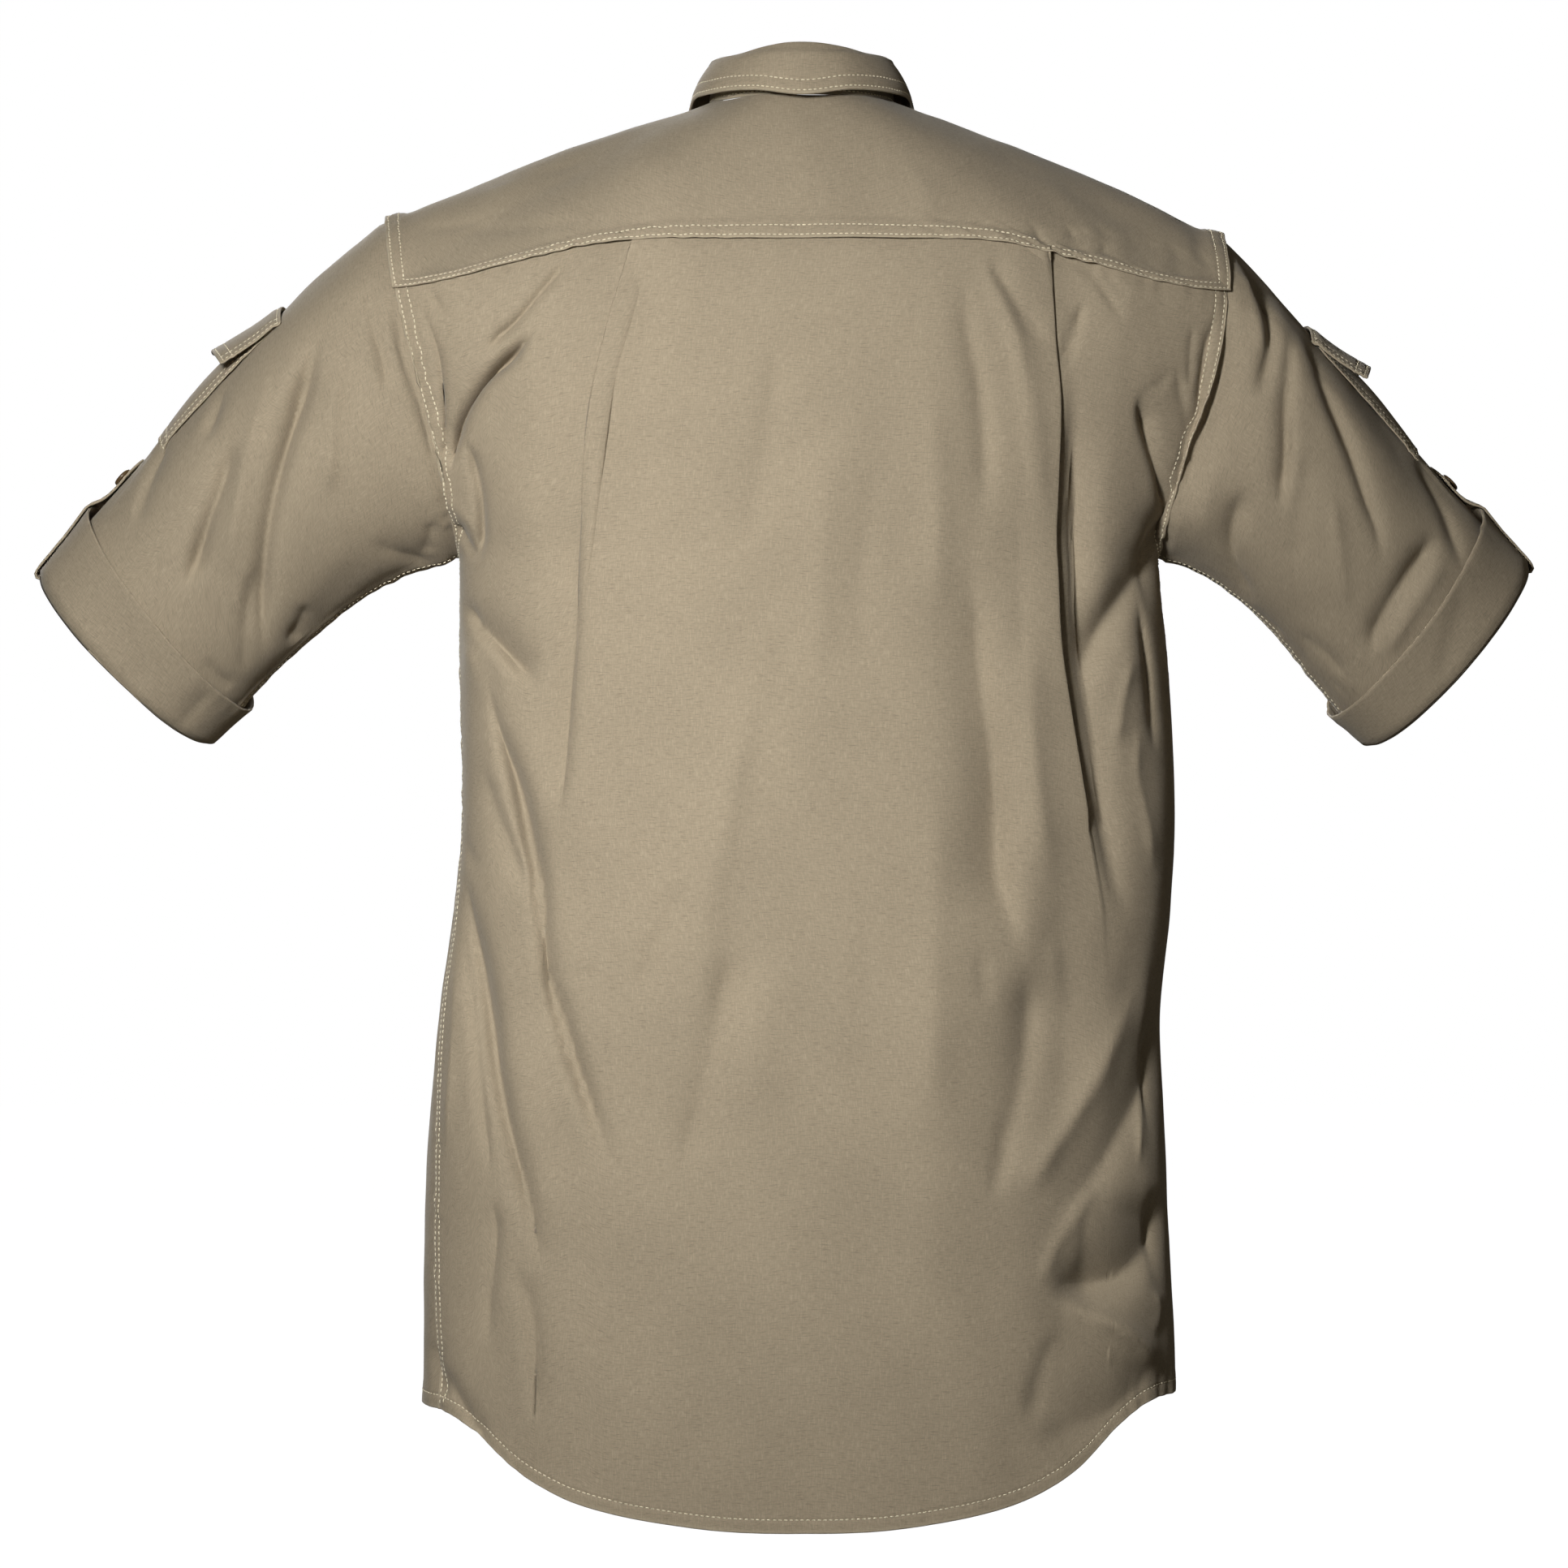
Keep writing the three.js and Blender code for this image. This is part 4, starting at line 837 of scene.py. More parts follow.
def shell(name, points, out, thick, closed, wear, inside):
    """Cloth of a thickness round a grid of middle points, with rounded rims."""
    rows, cols = points.shape[:2]
    n = normals(points, closed) * out
    d = distances(points, closed)
    middle = d["left"][:, cols // 2 : cols // 2 + 1]
    uv = np.stack([d["left"] - middle, -d["top"]], -1).reshape(-1, 2)
    index = np.arange(rows * cols).reshape(rows, cols)
    if closed:
        wide = np.concatenate([index, index[:, :1]], 1)
        loops = [index[0], index[-1][::-1]]
    else:
        wide = index
        loops = [np.concatenate([index[0], index[1:, -1], index[-1, -2::-1], index[-2:0:-1, 0]])]
    quads = np.stack([wide[:-1, :-1], wide[:-1, 1:], wide[1:, 1:], wide[1:, :-1]], -1).reshape(-1, 4)
    flat = points.reshape(-1, 3)
    normal = n.reshape(-1, 3)
    inward = np.zeros_like(points)
    inward[0] += unit(points[1] - points[0])
    inward[-1] += unit(points[-2] - points[-1])
    if not closed:
        inward[:, 0] += unit(points[:, 1] - points[:, 0])
        inward[:, -1] += unit(points[:, -2] - points[:, -1])
    inward = unit(inward.reshape(-1, 3))
    count = rows * cols
    border = np.minimum(d["top"], d["bottom"])
    if not closed:
        border = np.minimum(border, np.minimum(d["left"], d["right"]))
    behind = thick / 2 + (inside * smooth(border / 12)).reshape(-1, 1)
    vertices = [flat + normal * thick / 2, flat - normal * behind]
    faces = quads.tolist() + [face[::-1] for face in sparse(wide + count, closed)]
    uvs, wears = [uv, uv], [wear.ravel(), wear.ravel()]
    total = 2 * count
    for loop in loops:
        vertices.append(flat[loop] - inward[loop] * thick / 2)
        uvs.append(uv[loop])
        wears.append(wear.ravel()[loop])
        rim = total + np.arange(len(loop))
        after, rim_after = np.roll(loop, -1), np.roll(rim, -1)
        faces += np.stack([after, loop, rim, rim_after], -1).tolist()
        faces += np.stack([rim_after, rim, loop + count, after + count], -1).tolist()
        total += len(loop)
    if out < 0:
        faces = [face[::-1] for face in faces]
    used = np.zeros(total, bool)
    used[[v for face in faces for v in face]] = True
    number = np.cumsum(used) - 1
    faces = [[int(number[v]) for v in face] for face in faces]
    vertices, uvs, wears = (np.concatenate(values)[used] for values in (vertices, uvs, wears))
    obj = mesh_object(name, vertices, faces, cloth)
    corner = np.zeros(len(obj.data.loops), np.int32)
    obj.data.loops.foreach_get("vertex_index", corner)
    obj.data.uv_layers.new(name="cloth").data.foreach_set("uv", (uvs[corner] * MM).astype(np.float32).ravel())
    obj.data.attributes.new("wear", "FLOAT", "POINT").data.foreach_set("value", wears.astype(np.float32))
    return obj


def seam_line(points, edge, away, out, closed, lift):
    """Line on the outside of a piece at a distance from one of its edges, with its normals."""
    n = normals(points, closed) * out
    d = distances(points, closed)[edge]
    face = points + n * lift
    if edge in ("left", "right"):
        d, face, n = d.T, np.swapaxes(face, 0, 1), np.swapaxes(n, 0, 1)
    if edge in ("bottom", "right"):
        d, face, n = d[::-1], face[::-1], n[::-1]
    line, up = np.empty((d.shape[1], 3)), np.empty((d.shape[1], 3))
    for j in range(d.shape[1]):
        for c in range(3):
            line[j, c] = np.interp(away, d[:, j], face[:, j, c])
            up[j, c] = np.interp(away, d[:, j], n[:, j, c])
    if closed and edge in ("top", "bottom"):
        line, up = np.vstack([line, line[:1]]), np.vstack([up, up[:1]])
    return line, unit(up)


class Thread:
    """Stitches gathered for one object: short rounded pieces of thread that dip in at both ends."""

    SIDES = 5
    PROFILE = ((-0.5, 0.0, 0.0), (-0.36, 0.85, 0.6), (0.0, 1.0, 1.0), (0.36, 0.85, 0.6), (0.5, 0.0, 0.0))

    def __init__(self, seed):
        self.vertices, self.faces, self.total = [], [], 0
        self.rng = np.random.default_rng(seed)

    def row(self, line, up, start=1.0, end=1.0, pitch=PITCH, length=STITCH, radius=THREAD_RADIUS):
        s = np.concatenate([[0], np.cumsum(np.linalg.norm(np.diff(line, axis=0), axis=1))])
        count = int((s[-1] - start - end) / pitch)
        if count < 1:
            return
        at = start + pitch * (np.arange(count) + 0.5)
        place = lambda where, data: np.stack([np.interp(where, s, data[:, c]) for c in range(3)], -1)
        ahead = unit(place(at + length / 2, line) - place(at - length / 2, line))
        n = unit(place(at, up))
        side = unit(np.cross(ahead, n))
        n = np.cross(side, ahead)
        centre = place(at, line) + ahead * self.rng.uniform(-0.15, 0.15, (count, 1))
        size = length * self.rng.uniform(0.93, 1.06, (count, 1))
        turn = np.arange(self.SIDES) * 2 * math.pi / self.SIDES
        parts = []
        for along, wide, high in self.PROFILE:
            middle = centre + ahead * along * size + n * radius * (0.75 * high - 0.55)
            if wide == 0:
                parts.append(middle[:, None])
            else:
                ring = np.cos(turn)[None, :, None] * side[:, None] + np.sin(turn)[None, :, None] * n[:, None]
                parts.append(middle[:, None] + ring * radius * wide)
        block = np.concatenate(parts, 1)
        each = block.shape[1]
        faces = []
        ring = lambda r, i: 1 + r * self.SIDES + i % self.SIDES
        for i in range(self.SIDES):
            faces.append((0, ring(0, i + 1), ring(0, i), ring(0, i)))
            for r in range(2):
                faces.append((ring(r, i), ring(r, i + 1), ring(r + 1, i + 1), ring(r + 1, i)))
            faces.append((each - 1, ring(2, i), ring(2, i + 1), ring(2, i + 1)))
        faces = np.array(faces)[None] + (self.total + each * np.arange(count))[:, None, None]
        self.vertices.append(block.reshape(-1, 3))
        self.faces.append(faces.reshape(-1, 4))
        self.total += each * count

    def seams(self, points, edges, out, closed, lift):
        for edge, seam in edges.items():
            for away in seam["rows"]:
                line, up = seam_line(points, edge, away, out, closed, lift)
                self.row(line, up, radius=seam.get("thread", THREAD_RADIUS))

    def make(self, name):
        faces = [tuple(dict.fromkeys(f)) for f in np.concatenate(self.faces).tolist()]
        return mesh_object(name, np.concatenate(self.vertices), faces, thread_material)


# Materials


def linear(red, green, blue):
    """Linear colour from the usual 0 to 255 one."""
    return tuple(((c / 255 + 0.055) / 1.055) ** 2.4 for c in (red, green, blue)) + (1.0,)


def fill(made, values):
    """Sets a node's inputs to plain values, or links them to the outputs of other nodes."""
    for key, value in values.items():
        if hasattr(value, "is_output"):
            made.id_data.links.new(value, made.inputs[key])
        else:
            made.inputs[key].default_value = value


def new_material(name, roughness, sheen=0.0, specular=0.3):
    """A material, its shader and a function that adds a node to it."""
    material = bpy.data.materials.new(name)
    material.use_nodes = True
    shader = material.node_tree.nodes["Principled BSDF"]
    fill(shader, {"Roughness": roughness, "Sheen Weight": sheen, "Sheen Roughness": 0.5})
    fill(shader, {"Specular IOR Level": specular})

    def node(kind, values=(), **settings):
        made = material.node_tree.nodes.new("ShaderNode" + kind)
        for key, value in settings.items():
            setattr(made, key, value)
        fill(made, dict(values))
        return made

    return material, shader, node


def cloth_material(name, base, light, worn):
    """Cotton weave: mottle, warp and weft streaks, fine bump, and paler worn seams."""
    material, shader, node = new_material(name, 0.88, 0.12, 0.2)
    uv = node("TexCoord").outputs["UV"]

    def noise(scale, stretch, detail=2.0):
        place = node("Mapping", {"Vector": uv, "Scale": (scale * stretch[0], scale * stretch[1], scale)})
        grain = {"Vector": place.outputs["Vector"], "Scale": 1.0, "Detail": detail, "Roughness": 0.55}
        return node("TexNoise", grain).outputs["Fac"]

    def blend(a, b, share):
        return node("Mix", {6: a, 7: b, 0: share}, data_type="RGBA").outputs[2]

    def ramp(value, low, high, least=0.0, most=1.0):
        limits = {"Value": value, "From Min": low, "From Max": high, "To Min": least, "To Max": most}
        return node("MapRange", limits).outputs["Result"]

    def combine(operation, a, b):
        return node("Math", {0: a, 1: b}, operation=operation).outputs[0]

    mottle = noise(700, (1, 1))
    warp = noise(1500, (1, 0.12))
    weft = noise(1500, (0.12, 1))
    dark = tuple(c * 0.8 for c in base[:3]) + (1.0,)
    pale = tuple(min(1, c * 1.15) for c in light[:3]) + (1.0,)
    colour = blend(base, light, ramp(mottle, 0.35, 0.65))
    colour = blend(colour, pale, ramp(warp, 0.5, 0.72))
    colour = blend(colour, dark, ramp(weft, 0.52, 0.74))
    cloud = ramp(noise(14, (1, 1), 3.0), 0.3, 0.75, 0.93, 1.05)
    shaded = node("VectorMath", {0: colour, "Scale": cloud}, operation="SCALE").outputs["Vector"]
    wear = combine("MULTIPLY", node("Attribute", attribute_name="wear").outputs["Fac"], 0.45)
    height = combine("ADD", combine("ADD", warp, weft), mottle)
    bump = node("Bump", {"Height": height, "Strength": 0.4, "Distance": 0.0002})
    fill(shader, {"Base Color": blend(shaded, worn, wear), "Normal": bump.outputs["Normal"]})
    return material


def plain_material(name, base, light, roughness, scale, depth, specular=0.4):
    """A material with a small uneven grain in its colour and surface."""
    material, shader, node = new_material(name, roughness, 0.0, specular)
    place = node("TexCoord").outputs["Object"]
    grain = node("TexNoise", {"Vector": place, "Scale": scale, "Detail": 3.0}).outputs["Fac"]
    colour = node("Mix", {6: base, 7: light, 0: grain}, data_type="RGBA").outputs[2]
    bump = node("Bump", {"Height": grain, "Strength": 0.4, "Distance": depth})
    fill(shader, {"Base Color": colour, "Normal": bump.outputs["Normal"]})
    return material


cloth = cloth_material("khaki_cotton", linear(150, 138, 118), linear(158, 145, 125), linear(182, 170, 148))
thread_material = plain_material("thread", linear(212, 202, 176), linear(230, 221, 198), 0.75, 900, 0.0001)
horn = plain_material("button_resin", linear(72, 55, 36), linear(104, 82, 54), 0.35, 160, 0.00005, 0.5)

pieces = {}
threads = {}


def cloth_piece(node, points, edges, out, seed, thick=THICK, closed=False, rumple=0.4, inside=0.0):
    """The cloth and stitches in place of one CAD node."""
    shaped, wear = dress(points, edges, out, seed, rumple, closed)
    name = "cloth_" + node
    pieces[node] = shell(name, shaped, out, thick, closed, wear, inside)
    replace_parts(pieces[node], node)
    if any(seam["rows"] for seam in edges.values()):
        threads[name] = Thread(seed)
        threads[name].seams(shaped, edges, out, closed, thick / 2)
    return shaped


# Back with its pleats


def back_degree(angle, row):
    """Length of a degree of the back's rows."""
    return 2 * np.linalg.norm(back_form(angle + 0.5, row) - back_form(angle, row), axis=-1)


def pleat_half(tab, side, row):
    """Columns across one pleat for every row: the panel, the fold, the cloth below and out again."""
    middle = back_form(np.zeros(len(row)), row)[:, 2]
    width = np.abs(back_form(np.full(len(row), side * 90.0), row)[:, 0])
    x, underlay, step, lift = (read(tab, "z", c, middle) for c in ("x", "underlay", "step", "lift"))
    angle = np.arcsin(np.clip(x / width, 0, 1) ** (SQUARENESS / 2)) / RAD
    degree = back_degree(angle, row)
    r = PLEAT_HALF
    under = np.maximum(underlay, 2.4 * r)[:, None]
    turn = np.linspace(0, math.pi, 7)
    across = [
        PLEAT_PANEL + 0 * under,
        r * np.sin(turn) - r + 0 * under,
        mix(-r, r - under, np.array([0.33, 0.67])),
        r - under - r * np.sin(turn),
        mix(r - under, 2, np.array([0.5, 1.0])),
    ]
    level = [0 * PLEAT_PANEL, r * np.cos(turn) - r, [-2 * r] * 2, r * np.cos(turn) - 3 * r, [-4 * r] * 2]
    across, level = np.hstack(across), np.concatenate(level) + 0 * under
    share = np.linspace(0, 1, across.shape[1] - 4)
    flat_across, flat_level = across.copy(), level.copy()
    flat_across[:, 4:] = mix(PLEAT_PANEL[-1], 2.0, share)
    flat_level[:, 4:] = -4 * r * smooth(share)
    opened = smooth((2 - underlay) / 5)[:, None]
    across = np.hstack([mix(across, flat_across, opened), PLEAT_BESIDE + 0 * under])
    level = np.hstack([mix(level, flat_level, opened), -4 * r + 0 * PLEAT_BESIDE + 0 * under])
    edge = np.exp(-((np.minimum(across, 0) / 15) ** 2)) * np.where(level > -2.6 * r, 1, 0.0)
    edge = np.where(across > 0, np.where(level > -2.6 * r, 1, 0.25), edge)
    depth = level * step[:, None] + lift[:, None] * edge * (1 - 0.75 * opened)
    panel = on_back(side * (angle[:, None] + across / degree[:, None]), row[:, None], depth)
    return panel, angle, step


PLEAT_PANEL = np.array([-17, -12, -8, -5, -2.5])  # columns of the middle panel beside a fold
PLEAT_BESIDE = np.array([5.0, 9.0])  # columns of the cloth on its other side
BACK_UNDER = 0.02  # share of the upper back that goes under the yoke
row = np.concatenate([np.linspace(-BACK_UNDER, 1, 80), np.linspace(1, 2, 220)[1:]])
halves, plain, angles = {}, {}, {}
for side, tab in ((1, PLEAT_LEFT), (-1, PLEAT_RIGHT)):
    pleat, angle, step = pleat_half(tab, side, row)
    degree = back_degree(angle, row)
    end = np.where(row > 1, side_seam(side, row), 90.0)
    begin = angle + PLEAT_BEYOND / degree
    t = np.linspace(0, 1, 120)[None]
    a = mix(begin[:, None], end[:, None], t)
    away = (a - angle[:, None]) * BACK_DEGREE
    dip = -4 * PLEAT_HALF * step[:, None] * (1 - smooth(away / PLEAT_SPREAD))
    outer = respace(on_back(side * a, row[:, None], dip), 1, [0], SEAM_LINES, FINE)
    halves[side] = np.concatenate([pleat, outer], 1)
    plain[side] = np.arange(halves[side].shape[1]) >= pleat.shape[1]
    angles[side] = angle + PLEAT_PANEL[0] / degree
t = np.linspace(0, 1, 62)[None, 1:-1]
a = mix(-angles[-1][:, None], angles[1][:, None], t)
centre = on_back(a, row[:, None], 0.0)
back = np.concatenate([halves[-1][:, ::-1], centre, halves[1]], 1)
back_inside = INSIDE * np.concatenate([plain[-1][::-1], np.ones(centre.shape[1]), plain[1]])
back = respace(back, 0, PLAIN_LINES, HEM_LINES, LONG)
back_edges = {"top": BELOW, "left": ARM_SEAM, "right": ARM_SEAM, "bottom": HEM}
cloth_piece("back", back, back_edges, 1, 11, inside=back_inside)

# Yoke
u, v = grid(np.linspace(-0.9988, 0.9988, 260), np.linspace(0.006, 1.004, 60))
smoothed = soften(on(yoke_form, u, v, YOKE_PROUD), YOKE_BLURS, YOKE_BLUR_BORDER)
yoke = smoothed + (on_yoke(u, v, YOKE_PROUD) - on(yoke_form, u, v, YOKE_PROUD))
d = distances(yoke, False)
end = np.minimum(d["left"], d["right"])
sunk = YOKE_END_SINKS * smooth(1 - end / YOKE_END_WIDTH)
sunk += YOKE_RIM_SINKS * smooth(1 - end / YOKE_RIM_WIDTH)
yoke[..., 2] -= sunk * smooth(np.minimum(d["top"], d["bottom"]) / YOKE_SEAM_WIDTH)
yoke = net(yoke, (PLAIN_LINES, SEAM_LINES, STEP), (SEAM_LINES, SEAM_LINES, FINE))
yoke_edges = {"bottom": SEAM, "left": YOKE_ARM, "right": YOKE_ARM}
cloth_piece("yoke", yoke, yoke_edges, 1, 23, inside=INSIDE)


# Fronts and band


def share_at(side, row, distance):
    low, high = np.full(len(row), 0.5), np.ones(len(row))
    for _ in range(20):
        middle = (low + high) / 2
        far = np.abs(front_form(side, middle, row)[:, 0]) > distance
        low, high = np.where(far, middle, low), np.where(far, high, middle)
    return low


def edge_line(side, row, distance, off):
    """Column of a front at a distance before (positive) or past the centre front."""
    if distance > 0:
        return on_front(side, share_at(side, row, distance), row, off)
    return on_front(side, np.ones(len(row)), row, off) + [side * distance, 0, 0]


row = np.concatenate([np.linspace(0.002, 1, 60), np.linspace(1, 2, 150)[1:]])


def front_panel(side, stop):
    last = share_at(side, row, stop)[:, None]
    return on_front(side, mix(0.001, last, np.linspace(0, 1, 90)[None]), row[:, None])


left = [edge_line(1, row, d, 0.0) for d in np.linspace(12, -OVERLAP, 10)]
front_left = np.concatenate([front_panel(1, BAND_HALF_WIDTH), np.stack(left, 1)], 1)
front_left = net(front_left, (PLAIN_LINES, HEM_LINES, STEP), (PLAIN_LINES, PLAIN_LINES, STEP))
front_edges = {"top": BELOW, "left": BELOW, "bottom": HEM}
cloth_piece("front_left", front_left, front_edges, 1, 31)
right = [edge_line(-1, row, d, off) for d, off in zip(RIGHT_BEND, (0.0, -UNDER / 2))]
right += [edge_line(1, row, d, -UNDER) for d in np.linspace(-RIGHT_UNDER, OVERLAP, 12)]
front_right = np.concatenate([front_panel(-1, RIGHT_PANEL_END), np.stack(right, 1)], 1)
front_right = net(front_right, (PLAIN_LINES, HEM_LINES, STEP), (PLAIN_LINES, PLAIN_LINES, STEP))
cloth_piece("front_right", front_right, front_edges, -1, 37)
BAND_SEAM = {"raise": 0.2, "wide": 6, "rows": (5.5,), "pucker": 0.2}
BAND_LINES = [0, 0.6, 2.5, 4.6, 5.5, 6.4, 9]
band = np.stack([edge_line(1, row, d, LIFT) for d in np.linspace(BAND_HALF_WIDTH, -BAND_HALF_WIDTH, 20)], 1)
band = net(band, (PLAIN_LINES, HEM_LINES, STEP), (BAND_LINES, BAND_LINES, STEP))
band_edges = {"left": BAND_SEAM, "right": BAND_SEAM, "bottom": HEM}
cloth_piece("front_band", band, band_edges, 1, 41, rumple=0.2, thick=1.2)

# Collar stand and collar


def neck_out(angle):
    return xyz(np.sin(angle * RAD), np.cos(angle * RAD), 0)


def stand_point(angle, share):
    a = np.minimum(np.abs(angle), 360 - np.abs(angle))
    foot = 0.9 + 0.6 * smooth((a - 150) / 20)
    height = mix(foot, read(NECK, "angle", "stand", a), share)
    over = smooth((np.abs(angle) - 150) / 25) * np.sign(angle) * UNDER / 2
    p = neck(angle) + neck_out(angle) * (over - STAND_LEAN * share)[..., None]
    return p + xyz(0, 0, height)


def collar_edge(angle):
    side = np.where(angle < 0, -1, 1)
    a = np.abs(angle)
    reach, off = read(NECK, "angle", "reach", a), read(NECK, "angle", "stand_off", a)
    past = (a - YOKE_SHOULDER_DEG) / (YOKE_NECK_END_DEG - YOKE_SHOULDER_DEG)
    t = mix(YOKE_BACK_SHARE, 1, np.clip(past, 0, 1))
    t = np.where(past < 0, a / YOKE_SHOULDER_DEG * YOKE_BACK_SHARE, t)
    length = np.linalg.norm(yoke_form(side * t, 1.0) - yoke_form(side * t, 0.0), axis=-1)
    on_shoulder = on(yoke_form, side * t, reach / length, off)
    f = np.clip((a - YOKE_NECK_END_DEG) / (180 - YOKE_NECK_END_DEG), 0, 1)
    share = mix(NECK_SHARE + 1e-6, 1, f) - 0.2 * f * f
    made = on_shoulder
    for s in (1, -1):
        long = np.linalg.norm(front_form(s, share, 1.0) - front_form(s, share, 0.0), axis=-1)
        lower = on(lambda q, r, s=s: front_form(s, q, r), share, reach / long, off, (), (), s)
        made = np.where(((side == s) & (past >= 1))[..., None], lower, made)
    return made


def settled(points):
    """The collar's top lies lower at the back than it was cut."""
    over = np.maximum(points[..., 2] - COLLAR_SETTLES_Z, 0)
    return points - xyz(0 * over, 0 * over, COLLAR_SETTLES * over * smooth(over / 8))


u, v = grid(np.linspace(-STAND_END_DEG, STAND_END_DEG, 240), np.linspace(1, 0, 12))
STAND_LINES = [0, 0.6, 1.8, 3]
stand = respace(settled(stand_point(u, v)), 0, PLAIN_LINES, STAND_LINES, 2.5)
STAND_SEAM = {"raise": 0.0, "wide": 3, "rows": (ROW_A,), "pucker": 0.12}
cloth_piece("collar_stand", stand, {"bottom": STAND_SEAM}, 1, 43, DOUBLE, rumple=0.15)

angle = np.linspace(-COLLAR_END_DEG, COLLAR_END_DEG, 260)
top = stand_point(angle, np.ones(len(angle)))
collar_lines = []
for away, height in zip(COLLAR_ROLL["away"], COLLAR_ROLL["height"]):
    collar_lines.append(top + neck_out(angle) * away + [0, 0, height])
edge = collar_edge(angle)
for t in np.linspace(0, 1, 8)[1:]:
    collar_lines.append(mix(collar_lines[4], edge, t) + neck_out(angle) * 4 * t * (1 - t) * COLLAR_SWELL)
collar_lines = np.stack(collar_lines)
collar = np.stack([curve(collar_lines[:, j], 70) for j in range(len(angle))], 1)
collar = net(settled(collar), (PLAIN_LINES, SEAM_LINES, 2.2), (SEAM_LINES, SEAM_LINES, STEP))
collar_edges = {"bottom": EDGE, "left": EDGE, "right": EDGE}
cloth_piece("collar", collar, collar_edges, 1, 47, DOUBLE, rumple=0.25)


# Sleeves, cuffs, pockets, flaps and tabs


def pocket_swell(k, along):
    across = np.clip((k - POCKET["from"]) / (POCKET["to"] - POCKET["from"]), 0, 1)
    down = np.clip((along - POCKET["top"]) / (POCKET["end"] - POCKET["top"]), 0, 1)
    return POCKET["bulge"] * np.sin(math.pi * across) * np.sin(math.pi * down)


def path_rows(tab, count):
    line = curve(np.stack([tab["along"] * SLEEVE_LENGTH, tab["off"]], -1), count)
    return line[:, 0] / SLEEVE_LENGTH, line[:, 1]


def sleeve_pieces(side, word, seed):
    k = np.linspace(0, ROUND, 241)[:-1]
    u, v = grid(k, np.linspace(-0.012, SLEEVE_END + 0.004, 110))
    low = -1.0 * (1 - smooth(v * 30))
    sleeve = respace(on_sleeve(side, u, v, low), 0, PLAIN_LINES, PLAIN_LINES, LONG)
    sleeve_edges = {"top": BELOW, "left": SEAM}
    cloth_piece("sleeve_" + word, sleeve, sleeve_edges, side, seed, closed=True, inside=INSIDE)

    along, off = path_rows(CUFF_PATH, 60)
    u, v = grid(k, along)
    cuff = respace(on_sleeve(side, u, v, grid(k, off)[1]), 0, PLAIN_LINES, [0, 0.6, 2, 4], 2.6)
    cuff_edges = {"bottom": {"raise": 0.0, "wide": 6, "rows": (), "pucker": 0.3}}
    shaped = cloth_piece("cuff_" + word, cuff, cuff_edges, side, seed + 1, DOUBLE, True, 0.3)
    thread = Thread(seed + 2)
    near = shaped[:, 5]
    up = normals(shaped, True)[:, 5] * side
    part = slice(int(len(near) * 0.34), len(near) - 1)
    thread.row(near[part] + up[part] * DOUBLE / 2, up[part])
    threads["cuff_" + word] = thread

    u, v = grid(np.linspace(POCKET["from"], POCKET["to"], 40), np.linspace(POCKET["top"], POCKET["end"], 40))
    pocket = on_sleeve(side, u, v, POCKET["off"] + pocket_swell(u, v))
    pocket = net(pocket, (SEAM_LINES, SEAM_LINES, STEP), (SEAM_LINES, SEAM_LINES, STEP))
    pocket_edges = {"left": EDGE, "right": EDGE, "bottom": EDGE}
    cloth_piece("pocket_" + word, pocket, pocket_edges, side, seed + 3, 1.0, rumple=0.2)

    across, down = grid(np.linspace(-1, 1, 50), np.linspace(0, 1, 40))
    k = mix(FLAP["from"], FLAP["to"], (across + 1) / 2)
    along = mix(FLAP["top"], FLAP["end"], down) + FLAP["point"] * (1 - np.abs(across)) * down
    over = LIFT * (1 + smooth(down * 8)) + FLAP["proud"] * down**2 + FLAP["off"]
    flap = on_sleeve(side, k, along, over + pocket_swell(k, along))
    flap = net(flap, ([0, 1.2, 1.8, 2.4, 4], SEAM_LINES, 2.5), (SEAM_LINES, SEAM_LINES, STEP))
    flap_edges = {"left": EDGE, "right": EDGE, "bottom": EDGE, "top": STAND_SEAM}
    cloth_piece("flap_" + word, flap, flap_edges, side, seed + 4, 1.4, rumple=0.2)

    along, off = path_rows(TAB_PATH, 90)
    c, v = grid(np.linspace(-1, 1, 15), along)
    reach = np.clip((np.cumsum(np.ones(v.shape), 0) - 78) / 12, 0, 1)
    v = v - (1 - np.abs(c)) * TAB["tip"] * reach / SLEEVE_LENGTH
    tab = on_sleeve(side, TAB["middle"] + c * TAB["half_width"] / TAB_STRETCH, v, grid(c[0], off)[1])
    TAB_LINES = [0, 0.5, 1.3, 2.2, 3.2]
    tab = net(tab, (TAB_LINES, TAB_LINES, 2.6), (TAB_LINES, TAB_LINES, 3))
    row = {"raise": 0.0, "wide": 2, "rows": (2.2,), "pucker": 0.1}
    tab_edges = {"left": row, "right": row, "bottom": row}
    cloth_piece("tab_" + word, tab, tab_edges, side, seed + 5, 1.3, rumple=0.1)


sleeve_pieces(1, "left", 60)
sleeve_pieces(-1, "right", 80)


# Buttons with a raised rim, four holes and thread through them


